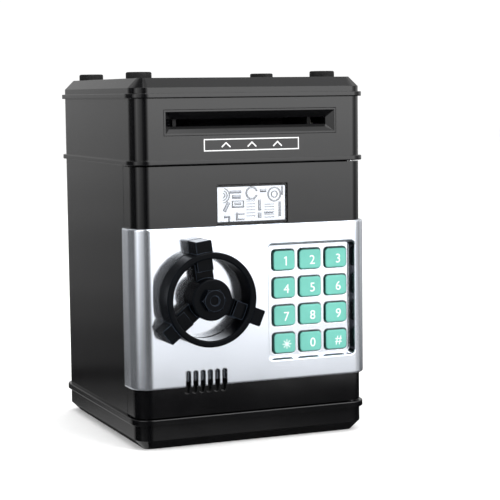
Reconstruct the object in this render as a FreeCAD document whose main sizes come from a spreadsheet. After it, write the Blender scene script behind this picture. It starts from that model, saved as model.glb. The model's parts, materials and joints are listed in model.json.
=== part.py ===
import FreeCAD
import Part
import Sketcher
import math
import os

# Toy ATM savings bank, in millimetres.
# +Z is up, the origin is the middle of the underside, and the door faces -Y.

SIZES = {
    # case
    "width": 125,
    "depth": 125,
    "height": 185,
    "corner": 8,
    "wall": 2.4,
    "rim_wall": 4.6,
    "deck": 2.4,
    "rib_proud": 1.65,
    "edge_round": 0.4,
    "fit": 0.2,
    "overcut": 1,
    # base storey
    "base_height": 15.8,
    "base_rib": 3.1,
    "base_chamfer": 5,
    "plate_inset": 7,
    "plate_thick": 2.4,
    "boss_inset": 17,
    "boss_radius": 4,
    "screw_radius": 1.3,
    "screw_bite": 6,
    "screw_head": 2.6,
    "screw_head_tall": 1.4,
    "screw_pan_tall": 1.2,
    "cross_long": 3,
    "cross_wide": 0.8,
    "cross_deep": 0.8,
    # head storey and lid
    "head_height": 32.9,
    "head_rib": 2.4,
    "lid_height": 10,
    "lid_rib": 2.4,
    "lid_chamfer": 4.9,
    "lid_top": 3,
    "pad_radius": 6.5,
    "pad_tall": 3.2,
    "pad_sunk": 0.8,
    "pad_side_inset": 11.7,
    "pad_front_inset": 25,
    "pad_back_inset": 19,
    # coin path
    "coin_slot_long": 33,
    "coin_slot_wide": 5,
    "coin_slot_back": 82,
    "chute_wall": 1.5,
    "chute_foot": 4.5,
    # banknote slot
    "slot_below_lid": 12.25,
    "slot_long": 84.4,
    "slot_tall": 3.6,
    "funnel_long": 91.6,
    "funnel_tall": 10.9,
    "funnel_deep": 3,
    "bezel_margin": 1,
    "bezel_deep": 8,
    "bezel_flange": 1.6,
    "bezel_flange_margin": 3,
    # banknote feed
    "feed_back": 24,
    "note_gap": 0.4,
    "tyre_radius": 6.6,
    "tyre_long": 12,
    "tyre_spread": 20,
    "pinch_tyre_radius": 4.4,
    "shaft_radius": 2,
    "pinch_shaft_radius": 1.5,
    "shaft_play": 0.05,
    "frame_gap": 72,
    "frame_thick": 2,
    "frame_deep": 24,
    "shaft_end": 1,
    "guide_thick": 1.5,
    "guide_clear": 1,
    "guide_gap": 0.5,
    "exit_reach": 12,
    "gear_gap": 0.8,
    "gear_wide": 3,
    "gear_module": 0.8,
    "feed_teeth": 20,
    "pinion_teeth": 10,
    "motor_radius": 7.5,
    "motor_long": 14,
    "motor_shaft": 1,
    "motor_bore": 4,
    "motor_end_gap": 0.4,
    "bracket_thick": 1.4,
    # door
    "door_gap": 0.6,
    "door_side": 17,
    "seam_gap": 0.5,
    "hinge_inset": 4.5,
    "hinge_setback": 8,
    "hinge_round": 6.3,
    "hinge_clear": 0.3,
    "hinge_boss": 4.2,
    "hinge_boss_tall": 8,
    "pin_radius": 2,
    "pin_play": 0.05,
    "pin_short": 1,
    "cover_thick": 2,
    "post_radius": 3,
    "post_inset": 5,
    "post_hinge_gap": 3,
    "cover_hinge_gap": 1,
    # silver panel
    "panel_proud": 2,
    "panel_above_base": 15.1,
    "panel_tall": 80.2,
    "panel_left_wrap": 15,
    "panel_round": 0.9,
    # keypad
    "keypad_from_right": 30.65,
    "keypad_wide": 48.7,
    "keypad_tall": 59.8,
    "keypad_centre": 55.2,
    "keypad_deep": 4.7,
    "keypad_floor": 1.3,
    "keypad_round": 2.4,
    "keypad_slope": 1.1,
    "keypad_edge": 0.4,
    "keypad_wall": 1.2,
    "key_wide": 12.3,
    "key_tall": 10.4,
    "key_round": 2,
    "key_edge": 0.9,
    "key_proud": 1.7,
    "key_pitch_across": 14.7,
    "key_pitch_up": 14.3,
    "key_aside": 0.4,
    "key_drop": 0.5,
    "key_play": 0.3,
    "key_travel": 1.2,
    "key_flange": 0.7,
    "key_flange_proud": 0.5,
    "mat_thick": 1.4,
    "board_thick": 1.6,
    "board_margin": 3,
    # speaker slots
    "vent_from_left": 35.65,
    "vent_pitch": 3.9,
    "vent_wide": 2.6,
    "vent_round": 1.2,
    "vent_up": 8.3,
    "vent_down": 3.4,
    "vent_floor_up": 2.5,
    "vent_deep": 3.4,
    "vent_backing": 1,
    "vent_door_deep": 1.5,
    "vent_margin": 1.7,
    "speaker_radius": 14,
    "speaker_thick": 5,
    "magnet_radius": 7,
    "magnet_thick": 3,
    # window
    "window_wide": 38.6,
    "window_tall": 20,
    "window_gap": 0.4,
    "window_deep": 1.6,
    "card_thick": 0.4,
    "lens_thick": 1,
    # handwheel and lock
    "wheel_from_left": 34.3,
    "wheel_above_base": 60.2,
    "wheel_clock": 7.5,
    "wheel_back": 0.8,
    "wheel_deep": 12.4,
    "ring_radius": 23.6,
    "ring_wall": 3.3,
    "hub_radius": 10.4,
    "arm_wide": 8.2,
    "arm_setback": 3.6,
    "arm_deep": 6,
    "ledge_wide": 9.2,
    "ledge_reach": 14.2,
    "ledge_setback": 6.4,
    "ledge_deep": 3.6,
    "lug_wide": 8.4,
    "lug_reach": 29.4,
    "lug_setback": 1.6,
    "wheel_edge": 0.7,
    "bolt_across": 12.3,
    "bolt_tall": 3.4,
    "bolt_crown": 5.2,
    "bolt_recess": 2.5,
    "bolt_recess_deep": 1.2,
    "spindle_radius": 3,
    "spindle_play": 0.05,
    "bush_wall": 2.1,
    "bush_flange": 8,
    "bush_flange_thick": 1.5,
    "disc_radius": 9.5,
    "disc_offset": 1.5,
    "disc_thick": 2.5,
    "cam_wide": 8,
    "cam_reach": 28.6,
    "cam_thick": 2.5,
    "cam_hub": 7,
    "cam_gap": 0.8,
    "spindle_end": 1,
    "strike_out": 7,
    "strike_tall": 18,
    "strike_thick": 3,
    "strike_base": 1.6,
    "strike_base_deep": 14,
    "strike_gap": 1.5,
    "solenoid_wide": 14,
    "solenoid_tall": 20,
    "plunger_radius": 2.2,
    "plunger_gap": 0.5,
    "plunger_show": 4.5,
    "plunger_seat": 12,
    "plunger_bore": 14,
    # battery
    "cell_radius": 7.1,
    "cell_long": 50,
    "cell_gap": 0.6,
    "battery_wall": 1.6,
    "battery_from_right": 8,
    "battery_above_base": 26,
    "battery_setback": 12,
    "grip_from_left": 7,
    "grip_pitch": 3,
    "grip_wide": 1.4,
    "grip_tall": 16,
    "grip_deep": 0.8,
}

VENT_COUNT = 6
KEY_ROWS = 4
KEY_COLUMNS = 3
CELL_COUNT = 3
LEVEL_WITHIN = 1e-4
LEAST_CUT = 1e-6

doc = FreeCAD.newDocument("savings_bank")
sheet = doc.addObject("Spreadsheet::Sheet", "dim")
nodes = []

# Places worked out from the driving sizes, as expressions for setExpression.
LEFT = "(-dim.width / 2)"
RIGHT = "(dim.width / 2)"
FRONT = "(-dim.depth / 2)"
BACK = "(dim.depth / 2)"
TOP = "dim.height"
BASE_TOP = "dim.base_height"
LID_BOTTOM = "(dim.height - dim.lid_height)"
HEAD_BOTTOM = f"({LID_BOTTOM} - dim.head_height)"
HEAD_DECK = f"({HEAD_BOTTOM} + dim.deck)"
SLOT_Z = f"({LID_BOTTOM} - dim.slot_below_lid)"
FEED_Y = f"({FRONT} + dim.feed_back)"
FEED_Z = f"({SLOT_Z} - dim.note_gap / 2 - dim.tyre_radius)"
PINCH_Z = f"({SLOT_Z} + dim.note_gap / 2 + dim.pinch_tyre_radius)"
FRAME_X = "(dim.frame_gap / 2)"
GEAR_X = f"({FRAME_X} + dim.frame_thick + dim.gear_gap)"
MOTOR_X = f"({GEAR_X} + dim.gear_wide + dim.gear_gap + dim.bracket_thick)"
MOTOR_Y = f"({FEED_Y} + dim.gear_module * (dim.feed_teeth + dim.pinion_teeth) / 2)"
DOOR_LOW = f"({BASE_TOP} + dim.door_gap)"
DOOR_HIGH = f"({HEAD_BOTTOM} - dim.door_gap)"
DOOR_REAR = f"({FRONT} + dim.door_side)"
DOOR_INNER = f"({FRONT} + dim.wall)"
HINGE_X = f"({RIGHT} - dim.hinge_inset)"
HINGE_Y = f"({FRONT} + dim.hinge_setback)"
COVER_FRONT = f"({DOOR_REAR} - dim.cover_thick)"
PANEL_FRONT = f"({FRONT} - dim.panel_proud)"
PANEL_LOW = f"({BASE_TOP} + dim.panel_above_base)"
PANEL_HIGH = f"({PANEL_LOW} + dim.panel_tall)"
PAD_X = f"({RIGHT} - dim.keypad_from_right)"
PAD_Z = f"({BASE_TOP} + dim.keypad_centre)"
KEYPAD_FLOOR = f"({PANEL_FRONT} + dim.keypad_deep)"
KEYPAD_REAR = f"({KEYPAD_FLOOR} + dim.keypad_floor)"
KEY_FLANGE_Y = f"({KEYPAD_REAR} + dim.key_play)"
MAT_Y = f"({KEY_FLANGE_Y} + dim.key_flange + dim.key_travel + dim.key_play)"
BOARD_Y = f"({MAT_Y} + dim.mat_thick)"
WHEEL_X = f"({LEFT} + dim.wheel_from_left)"
WHEEL_Z = f"({BASE_TOP} + dim.wheel_above_base)"
WHEEL_BACK = f"({PANEL_FRONT} - dim.wheel_back)"
WHEEL_FRONT = f"({WHEEL_BACK} - dim.wheel_deep)"
STRIKE_FRONT = f"({DOOR_REAR} + dim.strike_gap)"
CAM_FRONT = f"({STRIKE_FRONT} + dim.strike_thick + dim.cam_gap)"
CAM_REAR = f"({CAM_FRONT} + dim.cam_thick)"
DISC_FRONT = f"({DOOR_INNER} + dim.bush_flange_thick + dim.cam_gap)"
PLUNGER_LOW = f"({WHEEL_Z} + dim.disc_radius + dim.disc_offset + dim.plunger_gap)"
SOLENOID_LOW = f"({PLUNGER_LOW} + dim.plunger_show)"
BATTERY_Y = f"({FRONT} + dim.battery_setback)"
BATTERY_DEEP = "(2 * dim.cell_radius + 2 * dim.cell_gap)"
BATTERY_LONG = "(dim.cell_long + 4 * dim.cell_gap)"
BATTERY_TALL = f"({CELL_COUNT} * (2 * dim.cell_radius + dim.cell_gap) + dim.cell_gap)"
BATTERY_RIGHT = f"({RIGHT} - dim.battery_from_right)"
BATTERY_LEFT = f"({BATTERY_RIGHT} - {BATTERY_LONG} - 2 * dim.battery_wall)"
BATTERY_LOW = f"({BASE_TOP} + dim.battery_above_base)"
BATTERY_HIGH = f"({BATTERY_LOW} + {BATTERY_TALL} + 2 * dim.battery_wall)"
BATTERY_REAR = f"({BATTERY_Y} + dim.battery_wall + {BATTERY_DEEP})"


def fill_sheet():
    for row, (alias, size) in enumerate(SIZES.items(), start=1):
        sheet.set(f"A{row}", alias)
        sheet.set(f"B{row}", str(size))
        sheet.setAlias(f"B{row}", alias)
    doc.recompute()


def value(expression):
    return float(sheet.evalExpression(str(expression)))


def size(alias):
    return float(sheet.get(alias))


def grow(span, margin):
    return (f"({span[0]}) - ({margin})", f"({span[1]}) + ({margin})")


def around(middle, length):
    return (f"({middle}) - ({length}) / 2", f"({middle}) + ({length}) / 2")


def node(feature, name):
    feature.Label = name
    nodes.append(feature)
    return feature


# ---- Part primitives and booleans --------------------------------------------------------


def box(name, x, y, z):
    block = doc.addObject("Part::Box", name)
    for path, low, high in (("Length", *x), ("Width", *y), ("Height", *z)):
        block.setExpression(path, f"({high}) - ({low})")
    for axis, span in zip("xyz", (x, y, z)):
        block.setExpression(f"Placement.Base.{axis}", span[0])
    return block


TURNS = {"X": ((0, 1, 0), 90), "Y": ((1, 0, 0), -90), "Z": ((0, 0, 1), 0)}


def rod(name, axis, x, y, z, radius):
    """Cylinder along one axis: that axis is given as a span, the other two as one place."""
    pin = doc.addObject("Part::Cylinder", name)
    spans = {"X": x, "Y": y, "Z": z}
    low, high = spans[axis]
    vector, angle = TURNS[axis]
    pin.Placement = FreeCAD.Placement(FreeCAD.Vector(), FreeCAD.Rotation(FreeCAD.Vector(*vector), angle))
    pin.setExpression("Radius", radius)
    pin.setExpression("Height", f"({high}) - ({low})")
    for letter, place in spans.items():
        start = place[0] if letter == axis else place
        pin.setExpression(f"Placement.Base.{letter.lower()}", start)
    return pin


def join(name, *shapes):
    union = doc.addObject("Part::MultiFuse", name)
    union.Shapes = list(shapes)
    return union


def cut(name, base, *tools):
    tool = tools[0] if len(tools) == 1 else join(f"{name}_tools", *tools)
    result = doc.addObject("Part::Cut", name)
    result.Base = base
    result.Tool = tool
    return result


def group(name, *shapes):
    compound = doc.addObject("Part::Compound", name)
    compound.Links = list(shapes)
    return compound


# ---- PartDesign helpers ------------------------------------------------------------------


def add_body(name):
    return doc.addObject("PartDesign::Body", name)


def add_sketch(body, plane_role, offset):
    sketch = body.newObject("Sketcher::SketchObject", f"{body.Name}_sketch")
    plane = next(item for item in body.Origin.OriginFeatures if item.Role == plane_role)
    sketch.AttachmentSupport = [(plane, "")]
    sketch.MapMode = "FlatFace"
    sketch.setExpression("AttachmentOffset.Base.z", offset)
    return sketch


def bind(sketch, kind, places, name, expression):
    index = sketch.addConstraint(Sketcher.Constraint(kind, *places, value(expression)))
    sketch.renameConstraint(index, name)
    sketch.setExpression(f"Constraints.{name}", expression)


def draw_rectangle(sketch, across, up, radius=None):
    """Rectangle between two pairs of places, with corners of one radius or sharp corners."""
    x0, x1 = (value(item) for item in across)
    y0, y1 = (value(item) for item in up)
    r = value(radius) if radius else 0
    first = sketch.GeometryCount
    ends = (
        ((x0 + r, y0), (x1 - r, y0)),
        ((x1, y0 + r), (x1, y1 - r)),
        ((x1 - r, y1), (x0 + r, y1)),
        ((x0, y1 - r), (x0, y0 + r)),
    )
    for start, end in ends:
        sketch.addGeometry(Part.LineSegment(FreeCAD.Vector(*start, 0), FreeCAD.Vector(*end, 0)))
    for side, kind in enumerate(("Horizontal", "Vertical", "Horizontal", "Vertical")):
        sketch.addConstraint(Sketcher.Constraint(kind, first + side))
    if radius:
        centres = ((x1 - r, y0 + r), (x1 - r, y1 - r), (x0 + r, y1 - r), (x0 + r, y0 + r))
        for quarter, centre in enumerate(centres):
            circle = Part.Circle(FreeCAD.Vector(*centre, 0), FreeCAD.Vector(0, 0, 1), r)
            start = (quarter - 1) * math.pi / 2
            sketch.addGeometry(Part.ArcOfCircle(circle, start, start + math.pi / 2))
        for quarter in range(4):
            line, arc, following = first + quarter, first + 4 + quarter, first + (quarter + 1) % 4
            sketch.addConstraint(Sketcher.Constraint("Tangent", line, 2, arc, 1))
            sketch.addConstraint(Sketcher.Constraint("Tangent", arc, 2, following, 1))
        for arc in range(first + 5, first + 8):
            sketch.addConstraint(Sketcher.Constraint("Equal", first + 4, arc))
        bind(sketch, "Radius", (first + 4,), f"radius_{first}", radius)
    else:
        for side in range(4):
            pair = (first + side, 2, first + (side + 1) % 4, 1)
            sketch.addConstraint(Sketcher.Constraint("Coincident", *pair))
    bind(sketch, "DistanceX", (-1, 1, first + 3, 1), f"left_{first}", across[0])
    bind(sketch, "DistanceX", (-1, 1, first + 1, 1), f"right_{first}", across[1])
    bind(sketch, "DistanceY", (-1, 1, first, 1), f"low_{first}", up[0])
    bind(sketch, "DistanceY", (-1, 1, first + 2, 1), f"high_{first}", up[1])


def draw_circle(sketch, across, up, radius):
    index = sketch.GeometryCount
    centre = FreeCAD.Vector(value(across), value(up), 0)
    sketch.addGeometry(Part.Circle(centre, FreeCAD.Vector(0, 0, 1), value(radius)))
    bind(sketch, "DistanceX", (-1, 1, index, 3), f"across_{index}", across)
    bind(sketch, "DistanceY", (-1, 1, index, 3), f"up_{index}", up)
    bind(sketch, "Radius", (index,), f"round_{index}", radius)


def draw(sketch, outlines):
    for outline in outlines:
        if isinstance(outline[0], tuple):
            draw_rectangle(sketch, *outline)
        else:
            draw_circle(sketch, *outline)


# The XZ plane's normal points to -Y, so a span along Y is turned round there.
def pad(body, plane_role, span, *outlines):
    offset = f"-({span[1]})" if plane_role == "XZ_Plane" else span[0]
    sketch = add_sketch(body, plane_role, offset)
    draw(sketch, outlines)
    feature = body.newObject("PartDesign::Pad", f"{body.Name}_pad")
    feature.Profile = sketch
    feature.setExpression("Length", f"({span[1]}) - ({span[0]})")
    return feature


def pocket(body, plane_role, span, *outlines):
    offset = f"-({span[0]})" if plane_role == "XZ_Plane" else span[1]
    sketch = add_sketch(body, plane_role, offset)
    draw(sketch, outlines)
    feature = body.newObject("PartDesign::Pocket", f"{body.Name}_pocket")
    feature.Profile = sketch
    feature.setExpression("Length", f"({span[1]}) - ({span[0]})")
    return feature


def edges_level(feature, axis, place, keep=lambda box: True):
    """Names of the edges of a feature that lie wholly at one place along an axis."""
    doc.recompute()
    low, high = f"{axis}Min", f"{axis}Max"
    target = value(place)
    names = []
    for number, edge in enumerate(feature.Shape.Edges, start=1):
        bounds = edge.BoundBox
        level = max(abs(getattr(bounds, end) - target) for end in (low, high)) < LEVEL_WITHIN
        if level and keep(bounds):
            names.append(f"Edge{number}")
    return names


def dress(body, kind, base, names, amount):
    feature = body.newObject(f"PartDesign::{kind}", f"{body.Name}_{kind.lower()}")
    feature.Base = (base, names)
    feature.setExpression("Radius" if kind == "Fillet" else "Size", amount)
    return feature


def outline(inset, radius):
    """The case's rounded rectangle, drawn in by an amount."""
    across = grow((LEFT, RIGHT), f"-({inset})")
    along = grow((FRONT, BACK), f"-({inset})")
    return (across, along, radius)


CASE = outline("0", "dim.corner")
CASE_INSIDE = outline("dim.wall", "dim.corner - dim.wall")
RIM_INSIDE = outline("dim.rim_wall", "dim.corner - dim.rim_wall")
RIB = outline("-dim.rib_proud", "dim.corner + dim.rib_proud")


def corner_places(side_inset, front_inset, back_inset):
    for x in (f"{LEFT} + {side_inset}", f"{RIGHT} - {side_inset}"):
        for y in (f"{FRONT} + {front_inset}", f"{BACK} - {back_inset}"):
            yield x, y


BOSSES = list(corner_places("dim.boss_inset", "dim.boss_inset", "dim.boss_inset"))


# ---- Case --------------------------------------------------------------------------------


def make_base():
    body = add_body("base_tray")
    block = pad(body, "XY_Plane", ("0", BASE_TOP), CASE)
    dress(body, "Chamfer", block, edges_level(block, "Z", "0"), "dim.base_chamfer")
    rib = pad(body, "XY_Plane", (f"{BASE_TOP} - dim.base_rib", BASE_TOP), RIB)
    rib_low = f"{BASE_TOP} - dim.base_rib"
    rounding = edges_level(rib, "Z", BASE_TOP) + edges_level(rib, "Z", rib_low, is_outer)
    dress(body, "Fillet", rib, rounding, "dim.edge_round")
    plate_outline = outline("dim.plate_inset", "dim.corner / 2")
    pocket(body, "XY_Plane", ("0", "dim.plate_thick"), plate_outline)
    pocket(body, "XY_Plane", ("dim.plate_thick", f"{BASE_TOP} - dim.deck"), RIM_INSIDE)
    under = ("dim.plate_thick", f"{BASE_TOP} - dim.deck")
    pad(body, "XY_Plane", under, *((x, y, "dim.boss_radius") for x, y in BOSSES))
    pocket(body, "XY_Plane", under, *((x, y, "dim.screw_radius") for x, y in BOSSES))
    pocket(body, "XY_Plane", (f"{BASE_TOP} - dim.deck", BASE_TOP), (HINGE_X, HINGE_Y, "dim.pin_radius"))
    node(body, "base_tray")


def is_outer(bounds):
    beyond_side = max(bounds.XMax, -bounds.XMin) > size("width") / 2
    beyond_end = max(bounds.YMax, -bounds.YMin) > size("depth") / 2
    return beyond_side or beyond_end


def make_screw(name, axis, places, head, shank, mouth):
    """Screw with a crossed recess. Its head, shank and recess are spans along its own axis."""

    def at(span):
        return [span if letter == axis else places[letter] for letter in "XYZ"]

    blank = join(
        f"{name}_blank",
        rod(f"{name}_head", axis, *at(head), "dim.screw_head"),
        rod(f"{name}_shank", axis, *at(shank), "dim.screw_radius"),
    )
    slots = []
    across = [letter for letter in "XYZ" if letter != axis]
    for long_letter in across:
        spans = {letter: around(f"({places[letter]})", "dim.cross_wide") for letter in across}
        spans[long_letter] = around(f"({places[long_letter]})", "dim.cross_long")
        spans[axis] = mouth
        slots.append(box(f"{name}_slot_{long_letter}", *(spans[letter] for letter in "XYZ")))
    return cut(name, blank, *slots)


def make_bottom_plate():
    body = add_body("bottom_plate")
    edge = outline("dim.plate_inset + dim.fit", "dim.corner / 2")
    pad(body, "XY_Plane", ("0", "dim.plate_thick"), edge)
    head_holes = [(x, y, "dim.screw_head + dim.fit") for x, y in BOSSES]
    pocket(body, "XY_Plane", ("0", "dim.screw_head_tall"), *head_holes)
    shank_holes = [(x, y, "dim.screw_radius + dim.fit") for x, y in BOSSES]
    pocket(body, "XY_Plane", ("dim.screw_head_tall", "dim.plate_thick"), *shank_holes)
    node(body, "bottom_plate")
    head = ("dim.fit", "dim.screw_head_tall")
    shank = ("dim.screw_head_tall", "dim.plate_thick + dim.screw_bite")
    mouth = ("dim.fit - dim.overcut", "dim.fit + dim.cross_deep")
    screws = []
    for index, (x, y) in enumerate(BOSSES):
        screws.append(make_screw(f"base_screw_{index}", "Z", {"X": x, "Y": y}, head, shank, mouth))
    node(group("base_screws", *screws), "base_screws")


def make_safe_case():
    body = add_body("safe_case")
    tall = (BASE_TOP, HEAD_BOTTOM)
    pad(body, "XY_Plane", tall, CASE)
    pocket(body, "XY_Plane", tall, CASE_INSIDE)
    left_start = f"{DOOR_REAR} + dim.seam_gap"
    right_start = f"{HINGE_Y} + dim.hinge_round + dim.hinge_clear"
    pocket(body, "XY_Plane", tall, ((f"{LEFT} - dim.wall", "0"), (f"{FRONT} - dim.wall", left_start)))
    pocket(body, "XY_Plane", tall, (("0", f"{RIGHT} + dim.wall"), (f"{FRONT} - dim.wall", right_start)))
    node(body, "safe_case")


def note_exit():
    along = (f"{FEED_Y} + dim.tyre_radius / 2", f"{FEED_Y} + dim.tyre_radius + dim.exit_reach")
    return (around("0", "dim.frame_gap"), along)


def coin_mouth(margin):
    place = f"{FRONT} + dim.coin_slot_back"
    across = around("0", "dim.coin_slot_long")
    along = around(place, "dim.coin_slot_wide")
    return (grow(across, margin), grow(along, margin))


def make_head_case():
    body = add_body("head_case")
    pad(body, "XY_Plane", (HEAD_BOTTOM, LID_BOTTOM), CASE)
    rib_span = (HEAD_BOTTOM, f"{HEAD_BOTTOM} + dim.head_rib")
    rib = pad(body, "XY_Plane", rib_span, RIB)
    rounding = edges_level(rib, "Z", rib_span[0]) + edges_level(rib, "Z", rib_span[1], is_outer)
    dress(body, "Fillet", rib, rounding, "dim.edge_round")
    pocket(body, "XY_Plane", (HEAD_DECK, LID_BOTTOM), CASE_INSIDE)
    opening = (
        around("0", "(dim.funnel_long + 2 * dim.bezel_margin)"),
        around(SLOT_Z, "(dim.funnel_tall + 2 * dim.bezel_margin)"),
    )
    pocket(body, "XZ_Plane", (FRONT, f"{FRONT} + dim.wall"), opening)
    pin_hole = (HINGE_X, HINGE_Y, "dim.pin_radius")
    pocket(body, "XY_Plane", (HEAD_BOTTOM, HEAD_DECK), note_exit(), coin_mouth("dim.fit"), pin_hole)
    node(body, "head_case")


def make_slot_bezel():
    body = add_body("slot_bezel_block")
    insert = (
        around("0", "(dim.funnel_long + 2 * dim.bezel_margin - dim.fit)"),
        around(SLOT_Z, "(dim.funnel_tall + 2 * dim.bezel_margin - dim.fit)"),
    )
    pad(body, "XZ_Plane", (FRONT, f"{FRONT} + dim.bezel_deep"), insert)
    flange = tuple(grow(span, "dim.bezel_flange_margin") for span in insert)
    pad(body, "XZ_Plane", (f"{FRONT} + dim.wall", f"{FRONT} + dim.wall + dim.bezel_flange"), flange)
    mouth = (around("0", "dim.slot_long"), around(SLOT_Z, "dim.slot_tall"))
    pocket(body, "XZ_Plane", (FRONT, f"{FRONT} + dim.bezel_deep"), mouth)
    funnel = doc.addObject("Part::Wedge", "funnel")
    wedge = {
        "Xmin": "-dim.funnel_long / 2",
        "Xmax": "dim.funnel_long / 2",
        "X2min": "-dim.slot_long / 2",
        "X2max": "dim.slot_long / 2",
        "Zmin": "-dim.funnel_tall / 2",
        "Zmax": "dim.funnel_tall / 2",
        "Z2min": "-dim.slot_tall / 2",
        "Z2max": "dim.slot_tall / 2",
        "Ymin": "0 * dim.funnel_deep",
        "Ymax": "dim.funnel_deep",
    }
    for path, expression in wedge.items():
        funnel.setExpression(path, expression)
    funnel.setExpression("Placement.Base.y", FRONT)
    funnel.setExpression("Placement.Base.z", SLOT_Z)
    node(cut("slot_bezel", body, funnel), "slot_bezel")


PADS = list(corner_places("dim.pad_side_inset", "dim.pad_front_inset", "dim.pad_back_inset"))


def make_lid():
    body = add_body("top_lid")
    block = pad(body, "XY_Plane", (LID_BOTTOM, TOP), CASE)
    dress(body, "Chamfer", block, edges_level(block, "Z", TOP), "dim.lid_chamfer")
    rib_span = (LID_BOTTOM, f"{LID_BOTTOM} + dim.lid_rib")
    rib = pad(body, "XY_Plane", rib_span, RIB)
    rounding = edges_level(rib, "Z", rib_span[0]) + edges_level(rib, "Z", rib_span[1], is_outer)
    dress(body, "Fillet", rib, rounding, "dim.edge_round")
    pocket(body, "XY_Plane", (LID_BOTTOM, f"{TOP} - dim.lid_top"), RIM_INSIDE)
    pocket(body, "XY_Plane", (f"{TOP} - dim.lid_top", TOP), coin_mouth("0"))
    pocket(body, "XY_Plane", (f"{TOP} - dim.pad_sunk", TOP), *((x, y, "dim.pad_radius") for x, y in PADS))
    node(body, "top_lid")
    span = (f"{TOP} - dim.pad_sunk", f"{TOP} + dim.pad_tall")
    pads = [rod(f"lid_pad_{index}", "Z", x, y, span, "dim.pad_radius") for index, (x, y) in enumerate(PADS)]
    node(group("lid_pads", *pads), "lid_pads")


def make_coin_chute():
    body = add_body("coin_chute")
    span = (HEAD_DECK, f"{TOP} - dim.lid_top")
    pad(body, "XY_Plane", span, coin_mouth("(dim.fit + dim.chute_wall)"))
    foot = (HEAD_DECK, f"{HEAD_DECK} + dim.chute_wall")
    pad(body, "XY_Plane", foot, coin_mouth("(dim.fit + dim.chute_foot)"))
    pocket(body, "XY_Plane", span, coin_mouth("dim.fit"))
    node(body, "coin_chute")


# ---- Banknote feed -----------------------------------------------------------------------


def make_roller_frames():
    for name, sign in (("roller_frame_left", -1), ("roller_frame_right", 1)):
        body = add_body(name)
        inner = f"{sign} * {FRAME_X}"
        outer = f"{sign} * ({FRAME_X} + dim.frame_thick)"
        across = (inner, outer) if sign > 0 else (outer, inner)
        deep = around(FEED_Y, "dim.frame_deep")
        top = f"{PINCH_Z} + dim.pinch_tyre_radius"
        pad(body, "YZ_Plane", across, (deep, (HEAD_DECK, top), "dim.shaft_radius"))
        pocket(
            body,
            "YZ_Plane",
            across,
            (FEED_Y, FEED_Z, "dim.shaft_radius + dim.shaft_play"),
            (FEED_Y, PINCH_Z, "dim.pinch_shaft_radius + dim.shaft_play"),
        )
        node(body, name)


def make_roller(prefix, z, shaft_radius, tyre_radius, far_end):
    near_end = f"-{FRAME_X} - dim.frame_thick - dim.shaft_end"
    shaft = rod(f"{prefix}_shaft", "X", (near_end, far_end), FEED_Y, z, shaft_radius)
    node(shaft, f"{prefix}_shaft")
    tyres = []
    for side in (-1, 1):
        span = around(f"({side} * dim.tyre_spread)", "dim.tyre_long")
        rim = rod(f"{prefix}_tyre_{side}", "X", span, FEED_Y, z, tyre_radius)
        bore = rod(f"{prefix}_bore_{side}", "X", span, FEED_Y, z, shaft_radius)
        tyres.append(cut(f"{prefix}_ring_{side}", rim, bore))
    node(group(f"{prefix}_tyres", *tyres), f"{prefix}_tyres")


# Root, tip, tip and root of a tooth: the share of the pitch from its middle, and the rise in modules.
TOOTH = ((-0.34, -1.15), (-0.15, 0.7), (0.15, 0.7), (0.34, -1.15))


def gear_outline(teeth, pitch_radius, phase):
    """Closed outline of a small spur gear: straight-sided teeth, narrower at the tip."""
    module = 2 * pitch_radius / teeth
    points = []
    for tooth in range(teeth):
        middle = phase + 2 * math.pi * tooth / teeth
        for share, rise in TOOTH:
            angle = middle + share * 2 * math.pi / teeth
            radius = pitch_radius + rise * module
            points.append(FreeCAD.Vector(0, radius * math.cos(angle), radius * math.sin(angle)))
    return points + points[:1]


def make_gear(name, teeth, y, z, bore, phase):
    """A gear is drawn tooth by tooth, so its shape is set from the sheet's sizes."""
    pitch_radius = size("gear_module") * teeth / 2
    face = Part.Face(Part.makePolygon(gear_outline(teeth, pitch_radius, phase)))
    blank = face.extrude(FreeCAD.Vector(size("gear_wide"), 0, 0))
    hole = Part.makeCylinder(bore, size("gear_wide"), FreeCAD.Vector(), FreeCAD.Vector(1, 0, 0))
    gear = doc.addObject("Part::Feature", name)
    gear.Shape = blank.cut(hole)
    gear.Placement = FreeCAD.Placement(FreeCAD.Vector(value(GEAR_X), value(y), value(z)), FreeCAD.Rotation())
    node(gear, name)


def make_feed_drive():
    teeth, small = int(size("feed_teeth")), int(size("pinion_teeth"))
    make_gear("feed_gear", teeth, FEED_Y, FEED_Z, size("shaft_radius"), 0)
    make_gear("motor_pinion", small, MOTOR_Y, FEED_Z, size("motor_shaft"), math.pi - math.pi / small)
    can = rod("motor_can", "X", (MOTOR_X, f"{MOTOR_X} + dim.motor_long"), MOTOR_Y, FEED_Z, "dim.motor_radius")
    bore_span = (MOTOR_X, f"{MOTOR_X} + dim.motor_bore")
    bore = rod("motor_can_bore", "X", bore_span, MOTOR_Y, FEED_Z, "dim.motor_shaft + dim.shaft_play")
    node(cut("feed_motor", can, bore), "feed_motor")
    reach = (GEAR_X, f"{bore_span[1]} - dim.motor_end_gap")
    node(rod("motor_spindle", "X", reach, MOTOR_Y, FEED_Z, "dim.motor_shaft"), "motor_spindle")
    body = add_body("motor_bracket")
    across = (f"{MOTOR_X} - dim.bracket_thick", MOTOR_X)
    deep = around(MOTOR_Y, "(2 * dim.motor_radius)")
    pad(body, "YZ_Plane", across, (deep, (HEAD_DECK, f"{FEED_Z} + dim.motor_radius")))
    foot = (across[0], f"{MOTOR_X} + dim.motor_long / 2")
    pad(body, "XY_Plane", (HEAD_DECK, f"{HEAD_DECK} + dim.bracket_thick"), (foot, deep))
    pocket(body, "YZ_Plane", across, (MOTOR_Y, FEED_Z, "dim.motor_shaft + dim.shaft_play"))
    node(body, "motor_bracket")


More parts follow.
